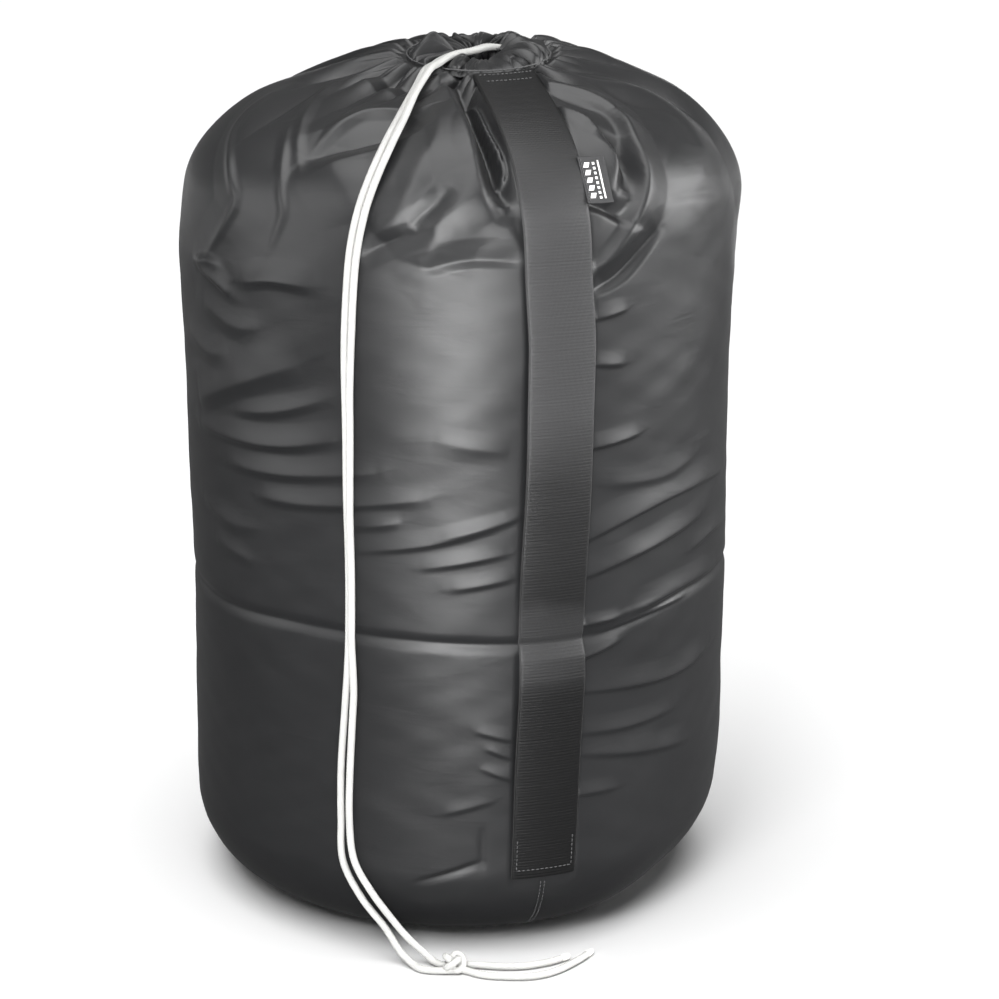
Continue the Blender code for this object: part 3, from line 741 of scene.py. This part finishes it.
def make_casing():
    """The gathered hem that holds the cord, crinkled in toward the mouth."""
    rng = np.random.default_rng(SEED + 2)
    columns, rows = 640, 70
    spin, along = np.meshgrid(full_turn(columns), np.linspace(0, 1, rows))
    # The casing's section, as (radius, rise above the hem), from outside to inside.
    route = np.array([(0.0495, -0.0030), (0.0462, -0.0006), (0.0420, 0.0008), (0.0350, 0.0014),
                      (0.0270, 0.0014), (0.0190, 0.0008), (0.0142, -0.0015), (0.0125, -0.0055),
                      (0.0128, -0.0110), (0.0150, -0.0200)])
    route = smooth_route(np.column_stack([route, np.zeros(len(route))]), 12)
    steps = np.linspace(0, 1, len(route))
    radius = np.interp(along, steps, route[:, 0])
    rise = np.interp(along, steps, route[:, 1])
    warp = 0.8 * waves(rng, spin, along, 6, (1, 5), (1.5, 6))
    fine = pleats(spin, 34, 2.5 * warp, 0.8)
    medium = pleats(spin, 15, 2.0 * warp + 1, 0.7)
    crumple = waves(rng, spin, along, 16, (9, 38), (0.25, 1.2))
    body = ramp(along, 0.0, 0.16) * (1 - ramp(along, 0.75, 1.0))
    calm = 1 - 0.75 * np.exp(-((spin - math.radians(8)) / 0.42) ** 4)
    lift = (0.0010 * fine + 0.0019 * medium + 0.0010 * crumple) * (0.15 + body) * calm
    inward = 0.0012 * medium * body * calm
    tab = swell(spin, math.radians(-84), 0.17) * swell(along, 0.40, 0.15)
    right = swell(spin, math.radians(62), 0.50) * swell(along, 0.34, 0.2)
    back = swell(spin, math.radians(150), 0.6) * swell(along, 0.40, 0.2)
    hood = swell(spin, math.radians(116), 0.34) * swell(along, 0.46, 0.11)
    lift = lift + 0.0135 * tab + 0.0050 * right + 0.0015 * back + 0.0085 * hood
    radius = radius + inward + 0.010 * right * np.sin(6 * spin) * 0.35
    grid = place(radius, HEM_HEIGHT + rise + lift, spin + 0.03 * crumple * body,
                 np.ones_like(radius))
    casing = grid_object("casing_gathers", grid, NYLON, uv_scale=(1.2, 0.075))
    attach(casing, "sack")
    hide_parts("drawcord_casing")
    return casing


# ------------------------------------------------------------------ the webbing strap
def strap_lift(arc):
    """How far the strap's middle line stands off the plain sack, in metres."""
    knots = [STRAP_START, 0.10, 0.13, 0.17, 0.205, 0.225, 0.240, 0.2475, 0.2505, 0.2545, 0.27,
             0.30, 0.34, 0.42, 0.49, 0.53, 0.58, 0.64, STRAP_END]
    lifts = [0.0002, 0.0008, 0.0020, 0.0036, 0.0050, 0.0054, 0.0040, 0.0008, -0.0010, 0.0002,
             0.0018, 0.0034, 0.0042, 0.0026, 0.0018, 0.0026, 0.0020, 0.0006, 0.0002]
    return eased(arc, knots, lifts, 0.002)


def strap_surface(arc, across, off):
    """Points of the strap at an arc length, metres across it and metres off its back."""
    angle = strap_angle(arc) + across / radius_at(arc)
    point, _, outward = surface_frame(arc, angle)
    curl = 0.0005 * (across / (STRAP_WIDTH / 2)) ** 4
    return point + outward * (strap_lift(arc) + off - curl)[..., None]


def make_strap_part(name, start, end, node_names):
    """A stretch of webbing as a closed shell, its cross ribs raised on its front face."""
    rng = np.random.default_rng(SEED + 3)
    half = STRAP_WIDTH / 2
    arc, across = np.meshgrid(np.linspace(start, end, int((end - start) / 0.00055)),
                              np.linspace(-half, half, 46), indexing="ij")
    wander = 0.00035 * waves(rng, across * 30, arc, 5, (0, 2), (0.05, 0.2))
    rib = np.abs(np.sin(math.pi * arc / RIB_PITCH)) ** 0.7
    yarns = 0.5 + 0.5 * np.sin(2 * math.pi * across / YARN_PITCH
                               + math.pi * np.floor(arc / RIB_PITCH))
    edge = ramp(half - np.abs(across), 0.0, 0.0014)
    relief = 0.00014 * rib + 0.00012 * yarns * rib
    front = STRAP_THICKNESS * (0.45 + 0.55 * edge) + relief * edge
    back = STRAP_THICKNESS * 0.45 * (1 - edge)
    top = strap_surface(arc, across + wander, front)
    under = strap_surface(arc, across + wander, back)
    loop = np.concatenate([top, under[:, ::-1]], axis=1)
    strap = grid_object(name, loop, WEBBING, uv_scale=(2 * STRAP_WIDTH, end - start))
    close_ends(strap, loop.shape)
    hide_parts(*node_names)
    return strap


def make_strap():
    """The strap in two halves, which meet in the grip."""
    upper = make_strap_part("strap_webbing_upper", GRIP_MIDDLE, STRAP_END,
                            ["strap_upper_end", "strap_grip"])
    lower = make_strap_part("strap_webbing_lower", STRAP_START, GRIP_MIDDLE,
                            ["strap_lower_end"])
    for part, low, high in ((upper, 0.48, 0.37), (lower, 0.13, 0.26)):
        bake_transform(part)


def stitches(name, paths, pitch, body, nodes):
    """Short raised thread stitches along paths of points."""
    sides = 6
    # Each stitch is a tube of rings, given as (place along it, size).
    profile = ((-1, 0.35), (-0.6, 0.9), (0, 1), (0.6, 0.9), (1, 0.35))
    points, faces = [], []
    for path in paths:
        spots = even_steps(np.array(path), pitch)
        for a, b in zip(spots, spots[1:]):
            first = len(points)
            along = (b - a) * 0.36
            centre = (a + b) / 2
            forward = along / np.linalg.norm(along)
            out = np.array([centre[0], centre[1], 0.15])
            out = out / np.linalg.norm(out)
            side = np.cross(forward, out)
            side /= np.linalg.norm(side)
            out = np.cross(side, forward)
            for step, size in profile:
                sink = -0.0002 * abs(step) ** 2
                for turn in range(sides):
                    angle = math.pi * turn / 3
                    ring = side * math.cos(angle) + out * math.sin(angle)
                    points.append(centre + along * step + ring * THREAD_RADIUS * size
                                  + out * sink)
            for ring in range(len(profile) - 1):
                start = first + ring * sides
                for turn in range(sides):
                    after = (turn + 1) % sides
                    faces.append((start + turn, start + after, start + sides + after,
                                  start + sides + turn))
            last = first + (len(profile) - 1) * sides
            faces.append(tuple(first + turn for turn in reversed(range(sides))))
            faces.append(tuple(last + turn for turn in range(sides)))
    made = mesh_object(name, points, faces, THREAD)
    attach(made, body)
    if nodes:
        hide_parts(*nodes)


def strap_line(start, end):
    """A straight row on the strap's face between two places, as (arc, across)."""
    arc, across = np.linspace(start, end, 20).T
    return strap_surface(arc, across, STRAP_THICKNESS + 0.0003)


def make_stitching():
    """The thread that sews down the strap's ends: a box below, two rows above."""
    half = STRAP_WIDTH / 2 - 0.0035
    low, high = STRAP_START + 0.006, STRAP_START + 0.028
    bottom = [strap_line((low, -half), (low, half)), strap_line((low, -half), (high, -half)),
              strap_line((low, half), (high, half))]
    stitches("strap_bottom_thread", bottom, 0.0032, "sack", ["strap_bottom_stitching"])
    low, high = STRAP_END - 0.018, STRAP_END - 0.004
    top = [strap_line((low, -half * 0.85), (low, half * 0.85)),
           strap_line((high, -half), (high, half))]
    stitches("strap_top_thread", top, 0.0030, "sack", ["strap_top_stitching"])


# ------------------------------------------------------------------ the drawcord
LEFT_STRAND = [
    (0.0318, -0.0068, 0.5896), (0.0287, -0.0070, 0.5902), (0.0212, -0.0087, 0.5900),
    (0.0141, -0.0136, 0.5886), (0.0076, -0.0220, 0.5874), (-0.0033, -0.0325, 0.5858),
    (-0.0090, -0.0432, 0.5842), (-0.0141, -0.0579, 0.5821), (-0.0218, -0.0825, 0.5754),
    (-0.0292, -0.1111, 0.5670), (-0.0365, -0.1376, 0.5570), (-0.0451, -0.1600, 0.5435),
    (-0.0542, -0.1760, 0.5251), (-0.0618, -0.1838, 0.5045), (-0.0671, -0.1867, 0.4800),
    (-0.0697, -0.1862, 0.4500), (-0.0715, -0.1848, 0.4100), (-0.0712, -0.1843, 0.3600),
    (-0.0708, -0.1838, 0.3100), (-0.0712, -0.1835, 0.2600), (-0.0724, -0.1837, 0.2150),
    (-0.0755, -0.1826, 0.1750), (-0.0785, -0.1818, 0.1350), (-0.0792, -0.1822, 0.0980),
    (-0.0784, -0.1834, 0.0680), (-0.0664, -0.1885, 0.0434), (-0.0508, -0.1935, 0.0239),
    (-0.0409, -0.1990, 0.0094), (-0.0328, -0.2060, 0.0036), (-0.0255, -0.2128, 0.0025),
    (-0.0127, -0.2152, 0.0027),
]
RIGHT_STRAND = [
    (0.0322, -0.0120, 0.5896), (0.0291, -0.0122, 0.5900), (0.0238, -0.0133, 0.5896),
    (0.0187, -0.0168, 0.5880), (0.0130, -0.0244, 0.5868), (0.0062, -0.0343, 0.5855),
    (-0.0011, -0.0460, 0.5838), (-0.0065, -0.0603, 0.5817), (-0.0152, -0.0845, 0.5752),
    (-0.0233, -0.1129, 0.5668), (-0.0308, -0.1398, 0.5565), (-0.0396, -0.1630, 0.5425),
    (-0.0489, -0.1785, 0.5235), (-0.0563, -0.1858, 0.5035), (-0.0614, -0.1890, 0.4790),
    (-0.0642, -0.1888, 0.4500), (-0.0662, -0.1871, 0.4100), (-0.0659, -0.1865, 0.3600),
    (-0.0655, -0.1860, 0.3100), (-0.0658, -0.1857, 0.2600), (-0.0672, -0.1858, 0.2150),
    (-0.0701, -0.1852, 0.1750), (-0.0725, -0.1847, 0.1350), (-0.0736, -0.1849, 0.0980),
    (-0.0709, -0.1868, 0.0700), (-0.0594, -0.1910, 0.0484), (-0.0456, -0.1940, 0.0294),
    (-0.0351, -0.1968, 0.0172), (-0.0251, -0.1990, 0.0082), (-0.0180, -0.2030, 0.0033),
    (-0.0123, -0.2070, 0.0027),
]
LEFT_TAIL = [
    (0.0020, -0.2146, 0.0027), (0.0150, -0.2215, 0.0025), (0.0300, -0.2240, 0.0025),
    (0.0450, -0.2240, 0.0025), (0.0580, -0.2195, 0.0025), (0.0690, -0.2110, 0.0025),
    (0.0790, -0.2000, 0.0025), (0.0850, -0.1920, 0.0025),
]
RIGHT_TAIL = [
    (0.0023, -0.2066, 0.0027), (0.0150, -0.2078, 0.0025), (0.0260, -0.2095, 0.0025),
    (0.0400, -0.2095, 0.0025), (0.0500, -0.2070, 0.0025), (0.0600, -0.2030, 0.0025),
    (0.0680, -0.1980, 0.0025),
]
KNOT_CENTRE = np.array([-0.0050, -0.2110, 0.0066])
KNOT_REACH, KNOT_RISE = 0.0050, 0.0038
EXIT_DROP = 0.0034           # how far the cord sinks into the gathered casing at the mouth
EXIT_DIP = 0.0025            # and how far its last stretch dips to go in at the exit
# How far the right strand leans over the left one, as (height, degrees).
STRAND_LEAN = [(0.22, 46), (0.31, 46), (0.385, 30), (0.43, 3), (0.54, 3), (0.56, 24),
               (0.582, 24), (0.589, 4)]


def braided_tube(name, points, radius):
    """A tube whose surface carries the crossing yarns of a round braid."""
    sides, yarns = 28, 4
    line = even_steps(points, BRAID_STEP)
    ahead = unit(np.gradient(line, axis=0))
    side = np.zeros_like(line)
    start = np.cross(ahead[0], [0.31, 0.17, 0.93])
    side[0] = start / np.linalg.norm(start)
    for i in range(1, len(line)):
        turned = side[i - 1] - ahead[i] * np.dot(side[i - 1], ahead[i])
        side[i] = turned / np.linalg.norm(turned)
    other = np.cross(ahead, side)
    turn, run = np.meshgrid(np.linspace(0, 2 * math.pi, sides, endpoint=False),
                            np.arange(len(line)) * BRAID_STEP)
    left = yarns * turn + 2 * math.pi * run / BRAID_PITCH * 2
    right = yarns * turn - 2 * math.pi * run / BRAID_PITCH * 2
    over = np.sin(left) * np.sin(right)
    relief = np.where(over > 0, np.abs(np.cos(left)), np.abs(np.cos(right)))
    reach = radius * (0.88 + 0.18 * (1 - relief))
    ring = side[:, None] * np.cos(turn)[..., None] + other[:, None] * np.sin(turn)[..., None]
    made = grid_object(name, line[:, None] + ring * reach[..., None], BRAID)
    cap_rings(made, (0, (len(line) - 1) * sides), sides)
    return made


def knot_route():
    """The doubled turn of an overhand knot: a trefoil squeezed flat on the floor."""
    t = np.linspace(0, 2 * math.pi, 160, endpoint=False)
    lobes = 1 + 0.42 * np.cos(3 * t)
    x = KNOT_REACH * np.cos(2 * t) * lobes * 0.92
    y = KNOT_REACH * np.sin(2 * t) * lobes * 1.05
    return np.stack([x, y, KNOT_RISE * np.sin(3 * t)], -1) + KNOT_CENTRE


def find_on_sack(points):
    """Angle and arc length of the places on the plain sack that lie under points."""
    x, y, z = points.T
    pull = np.zeros(len(points))
    for _ in range(60):
        radius = np.hypot(x - MOUTH_SHIFT[0] * pull, y - MOUTH_SHIFT[1] * pull)
        pull = np.where(z > SHOULDER_HEIGHT, pull_at(radius, SHOULDER_HEIGHT), 0.0)
    angle = np.arctan2(x - MOUTH_SHIFT[0] * pull, -(y - MOUTH_SHIFT[1] * pull))
    dome = ARC >= ARC_SHOULDER
    over = np.interp(-radius, -OUT_RADIUS[dome], ARC[dome])
    wall = np.interp(z, OUT_HEIGHT[~dome], ARC[~dome])
    return angle, np.where((z > SHOULDER_HEIGHT) & (radius < SHOULDER_RADIUS), over, wall)


def lay_on(cloth, route):
    """Raises or lowers a cord's route to lie on the folds beneath it."""
    angle, arc = find_on_sack(route)
    _, _, outward = surface_frame(arc, angle)
    lift = np.clip(cloth.lift_at(angle, arc), -0.001, None)
    reach = np.arange(-12, 13)
    weights = np.exp(-(reach / 6.0) ** 2)
    stiff = np.convolve(np.pad(lift, 12, mode="edge"), weights / weights.sum(), "valid")
    stiff *= ramp(route[:, 2], 0.10, 0.16) * (1 - ramp(arc, ARC_TOTAL - 0.03, ARC_TOTAL))
    return route + outward * stiff[:, None]


def side_by_side(right, left):
    """Brings the right strand against the left one, here and there partly over it."""
    fine = even_steps(left, 0.0004)
    gaps = np.linalg.norm(right[:, None] - fine[None], axis=2)
    near = fine[gaps.argmin(axis=1)]
    apart = unit(right - near)
    out = np.cross(unit(np.gradient(right, axis=0)), apart)
    out *= np.sign((out * (right - [0, 0, 0.2])).sum(axis=1))[:, None]
    height = right[:, 2]
    lean = np.radians(np.interp(height, *zip(*STRAND_LEAN)))
    apart = apart * np.cos(lean)[:, None] + out * np.sin(lean)[:, None]
    joined = near + apart * (CORD_DIAMETER + 0.0001)
    share = ramp(height, 0.18, 0.23)[:, None]
    return right * (1 - share) + joined * share


def make_cords(cloth):
    """Both strands with their tails, laid on the cloth, and the knot that ties them."""
    routes = {}
    for side, strand, tail in (("left", LEFT_STRAND, LEFT_TAIL),
                               ("right", RIGHT_STRAND, RIGHT_TAIL)):
        first, last = np.array(strand[-1]), np.array(tail[0])
        bridge = [first + (last - first) * k / 3 for k in (1, 2)]
        route = smooth_route(strand + bridge + tail, 14)
        route[:, 2] -= EXIT_DROP * ramp(route[:, 2], 0.575, 0.590)
        route[:, 2] -= EXIT_DIP * ramp(route[:, 0], 0.0185, 0.0325) * (route[:, 2] > 0.5)
        routes[side] = lay_on(cloth, even_steps(route, 0.003))
    routes["right"] = side_by_side(routes["right"], routes["left"])
    for side, route in routes.items():
        cord = braided_tube(f"cord_{side}", route, CORD_DIAMETER / 2)
        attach(cord, "sack")
        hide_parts(f"drawcord_strand_{side}", f"drawcord_tail_{side}")
        pieces = [make_tip(side, route)]
        if side == "left":
            pieces.append(make_knot())


def make_knot():
    route = knot_route()
    knot = braided_tube("knot_turns", np.vstack([route, route[:2]]), CORD_DIAMETER / 2 * 0.98)
    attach(knot, "sack")
    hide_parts("drawcord_knot")
    return knot


def make_tip(side, route):
    """The heat-sealed end of a cord: a short, slightly swollen and uneven bead."""
    end = route[-1]
    forward = route[-1] - route[-3]
    forward /= np.linalg.norm(forward)
    across = np.cross(forward, [0, 0, 1])
    up = np.cross(across, forward)
    sides = 24
    spin = np.linspace(0, 2 * math.pi, sides, endpoint=False)
    rings = []
    for step, size in ((-0.0010, 0.97), (0.0006, 1.0), (0.0022, 0.96), (0.0036, 0.90),
                       (0.0048, 0.78), (0.0056, 0.55), (0.0060, 0.25)):
        wobble = 1 + 0.03 * np.cos(3 * spin + 200 * step)
        reach = CORD_DIAMETER / 2 * size * wobble
        rings.append(end + forward * step + across * (reach * np.cos(spin))[:, None]
                     + up * (reach * np.sin(spin))[:, None])
    tip = grid_object(f"tip_{side}", np.array(rings), CORD_TIP)
    cap_rings(tip, (0, (len(rings) - 1) * sides), sides)
    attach(tip, "sack")
    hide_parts(f"cord_tip_{side}")
    return tip


# ------------------------------------------------------------------ the woven label
def label_axes():
    """The label's middle, its directions across, along and out, from the CAD solid."""
    node = bpy.data.objects["woven_label"]
    points = np.array([v.co for v in node.data.vertices])
    middle = points.mean(axis=0)
    _, _, axes = np.linalg.svd(points - middle)
    along, across, out = axes
    along = along if along[2] > 0 else -along
    across = across if across[0] > 0 else -across
    out = out if np.dot(out, middle * [1, 1, 0]) > 0 else -out
    return middle, across, along, out


def on_label(axes, u, v, lift):
    """Points at places across and along the label, lifted off its curling middle."""
    middle, across, along, out = axes
    curl = 0.0014 * ramp(u, 0.0, LABEL_WIDTH / 2) * (0.7 + 0.3 * np.sin(140 * v))
    return (middle + u[..., None] * across + v[..., None] * along
            + (curl + lift)[..., None] * out)


def make_label():
    """The folded side label: its cloth, its woven pattern and the row that sews it on."""
    axes = label_axes()
    u, v = np.meshgrid(np.linspace(-LABEL_WIDTH / 2, LABEL_WIDTH / 2, 28),
                       np.linspace(-LABEL_HEIGHT / 2, LABEL_HEIGHT / 2, 44), indexing="ij")
    ribs = 0.00006 * np.sin(2 * math.pi * v / 0.0011)
    top = on_label(axes, u, v, ribs + LABEL_THICKNESS / 2)
    under = on_label(axes, u, v, -LABEL_THICKNESS / 2)
    loop = np.concatenate([top, under[:, ::-1]], axis=1)
    label = grid_object("label_cloth", loop, LABEL_GROUND)
    close_ends(label, loop.shape)
    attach(label, "label")
    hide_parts("woven_label")

    # A plain woven pattern of bars and lozenges, which says nothing.
    points, faces = [], []

    def patch(u0, u1, v0, v1, lean=0.0):
        side = 5
        s, t = np.meshgrid(np.linspace(0, 1, side), np.linspace(0, 1, side), indexing="ij")
        index = len(points) + np.arange(side * side).reshape(side, side)
        spots = on_label(axes, u0 + (u1 - u0) * s + lean * (t - 0.5), v0 + (v1 - v0) * t,
                         LABEL_THICKNESS / 2 + 0.00016)
        points.extend(spots.reshape(-1, 3))
        faces.extend(np.stack([index[:-1, :-1], index[1:, :-1], index[1:, 1:], index[:-1, 1:]],
                              axis=-1).reshape(-1, 4).tolist())

    for k in range(5):
        low = -0.0125 + k * 0.0052
        patch(-0.0058, -0.0022, low, low + 0.0034, lean=0.0014)
    for k in range(8):
        low = -0.0130 + k * 0.0033
        patch(0.0002, 0.0018, low, low + 0.0017)
    patch(0.0036, 0.0046, -0.0130, 0.0128)
    pattern = mesh_object("label_pattern", points, faces, LABEL_WHITE)
    pattern.modifiers.new("yarn", "SOLIDIFY").thickness = 0.00018
    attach(pattern, "label")
    v = LABEL_HEIGHT * 0.46 * np.linspace(-1, 1, 16)
    row = on_label(axes, np.full(16, 0.0018 - LABEL_WIDTH / 2), v, LABEL_THICKNESS / 2 + 0.0002)
    stitches("label_thread", [row], 0.0026, "label", ["label_stitching"])


# ------------------------------------------------------------------ seams and trim
def make_seams():
    """The sack's side seam where it shows below the strap: two rows of stitches."""
    arcs = np.linspace(0.004, STRAP_START - 0.004, 24)
    seam = []
    for offset in (-0.0014, 0.0014):
        angle = strap_angle(arcs) + offset / radius_at(arcs)
        point, _, outward = surface_frame(arcs, angle)
        seam.append(point + outward * 0.0004)
    stitches("side_seam_thread", seam, 0.0030, "sack", [])


def make_buttonhole():
    """The overcast slot that the cord comes out of."""
    low, high = (np.array(corner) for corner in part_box("exit_buttonhole"))
    centre, half = (low + high) / 2, (high - low) / 2
    t = np.linspace(0, 2 * math.pi, 73)
    ring = centre + np.stack([half[0] * 0.94 * np.cos(t), half[1] * 0.94 * np.sin(t),
                              np.full_like(t, half[2] * 0.6)], -1)
    a = np.linspace(0, 2 * math.pi, 900)
    base = np.stack([np.interp(a, t, ring[:, k]) for k in range(3)], -1)
    out = np.stack([np.cos(a), np.sin(a), np.zeros_like(a)], -1)
    twist = OVERCAST_TURNS * a[:, None]
    coil = base + out * OVERCAST_REACH * np.cos(twist) + (
        np.array([0, 0, OVERCAST_REACH]) * np.sin(twist))
    curve = bpy.data.curves.new("buttonhole_thread", "CURVE")
    curve.dimensions = "3D"
    curve.bevel_depth = 0.0003
    curve.bevel_resolution = 1
    spline = curve.splines.new("POLY")
    spline.points.add(len(coil) - 1)
    for spot, point in zip(spline.points, coil):
        spot.co = (*point, 1)
    made = link("buttonhole_thread", curve)
    curve.materials.append(THREAD)
    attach(made, "sack")
    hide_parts("exit_buttonhole")


def finish_cad_nodes():
    """Good materials for the CAD solids that stay."""
    looks = {"bottom_seam_binding": BINDING, "side_seam_binding": BINDING, "drawcord_loop": BRAID,
             "casing_hem_stitching": THREAD}
    for name, material in looks.items():
        for slot in bpy.data.objects[name].material_slots:
            slot.material = material


# ------------------------------------------------------------------ floor, light, camera
def turned_sheet(name, rims, material):
    """A sheet around the sack's middle line between rims given as (radius, height)."""
    turns = np.linspace(0, 2 * math.pi, 65)
    rings = [[(r * math.sin(a), -r * math.cos(a), z) for a in turns] for r, z in rims]
    return grid_object(name, np.array(rings), material, wrap=False)


def make_stage():
    size = 14.0
    floor = mesh_object("floor", [(-size, -size, 0), (size, -size, 0), (size, size, 0),
                                  (-size, size, 0)], [(0, 1, 2, 3)], floor_material())
    floor.location.z = -0.0002
    # A dark card on the floor, seen only by reflections, keeps the satin's wall dark.
    card = turned_sheet("dark_card", ((0.137, 0.0004), (4.0, 0.0004)), BINDING)
    card.visible_camera = card.visible_diffuse = card.visible_shadow = False
    # A plain wall far off, seen only by the camera, stands behind the sack in low views.
    wall = turned_sheet("backdrop", ((13.0, 0.0), (13.0, 9.0)), backdrop_material())
    wall.visible_diffuse = wall.visible_glossy = wall.visible_shadow = False
    # All softboxes but the upper one light the sack alone: the floor keeps its soft shadow.
    unlit = bpy.data.collections.new("unlit_by_softboxes")
    unlit.objects.link(floor)
    unlit.collection_objects[0].light_linking.link_state = "EXCLUDE"
    world = bpy.data.worlds.new("studio")
    bpy.context.scene.world = world
    world.use_nodes = True
    background = world.node_tree.nodes["Background"].inputs
    background["Color"].default_value = (1, 1, 1, 1)
    background["Strength"].default_value = 0.14


def area_light(name, position, target, width, height, power, lights_floor=False):
    data = bpy.data.lights.new(name, "AREA")
    data.shape = "RECTANGLE"
    data.size, data.size_y, data.energy = width, height, power
    lamp = link(name, data)
    lamp.location = position
    aim = Vector(target) - Vector(position)
    lamp.rotation_euler = aim.to_track_quat("-Z", "Y").to_euler()
    lamp.visible_camera = False
    if not lights_floor:
        lamp.light_linking.receiver_collection = bpy.data.collections["unlit_by_softboxes"]


def make_lights():
    sun = bpy.data.lights.new("sky_panel", "SUN")
    sun.energy, sun.angle = 3.2, math.radians(60)
    lamp = link("sky_panel", sun)
    lamp.rotation_euler = Vector((0.03, 0.10, -1.0)).to_track_quat("-Z", "Y").to_euler()
    area_light("low_front_softbox", (-0.035, -1.15, 0.38), (0, 0, 0.34), 0.44, 0.60, 16.5)
    area_light("right_softbox", (1.55, -0.18, 0.84), (0, 0, 0.42), 1.5, 1.1, 41)
    area_light("left_softbox", (-1.5, -0.5, 0.76), (0, 0, 0.38), 1.2, 1.1, 10)
    area_light("rear_softbox", (0.3, 1.9, 0.45), (0, 0, 0.34), 1.3, 0.8, 8)
    area_light("upper_softbox", (-0.6, -1.7, 1.75), (0, 0, 0.5), 0.8, 0.8, 18,
               lights_floor=True)


def make_camera():
    data = bpy.data.cameras.new("camera")
    data.sensor_width = 36.0
    data.lens = 89.65
    camera = link("camera", data)
    look_down, look_aside = 16.273, -0.975
    camera.location = (0.0, -1.71, 0.7639)
    camera.rotation_euler = (math.radians(90 - look_down), 0, math.radians(look_aside))
    bpy.context.scene.camera = camera


bpy.context.scene.view_settings.view_transform = "Standard"
make_camera()
cloth = build_cloth(columns=640, rows=640)
make_base()
make_sack(cloth)
make_cords(cloth)
make_strap()
make_stitching()
make_label()
make_seams()
make_buttonhole()
finish_cad_nodes()
make_stage()
make_lights()
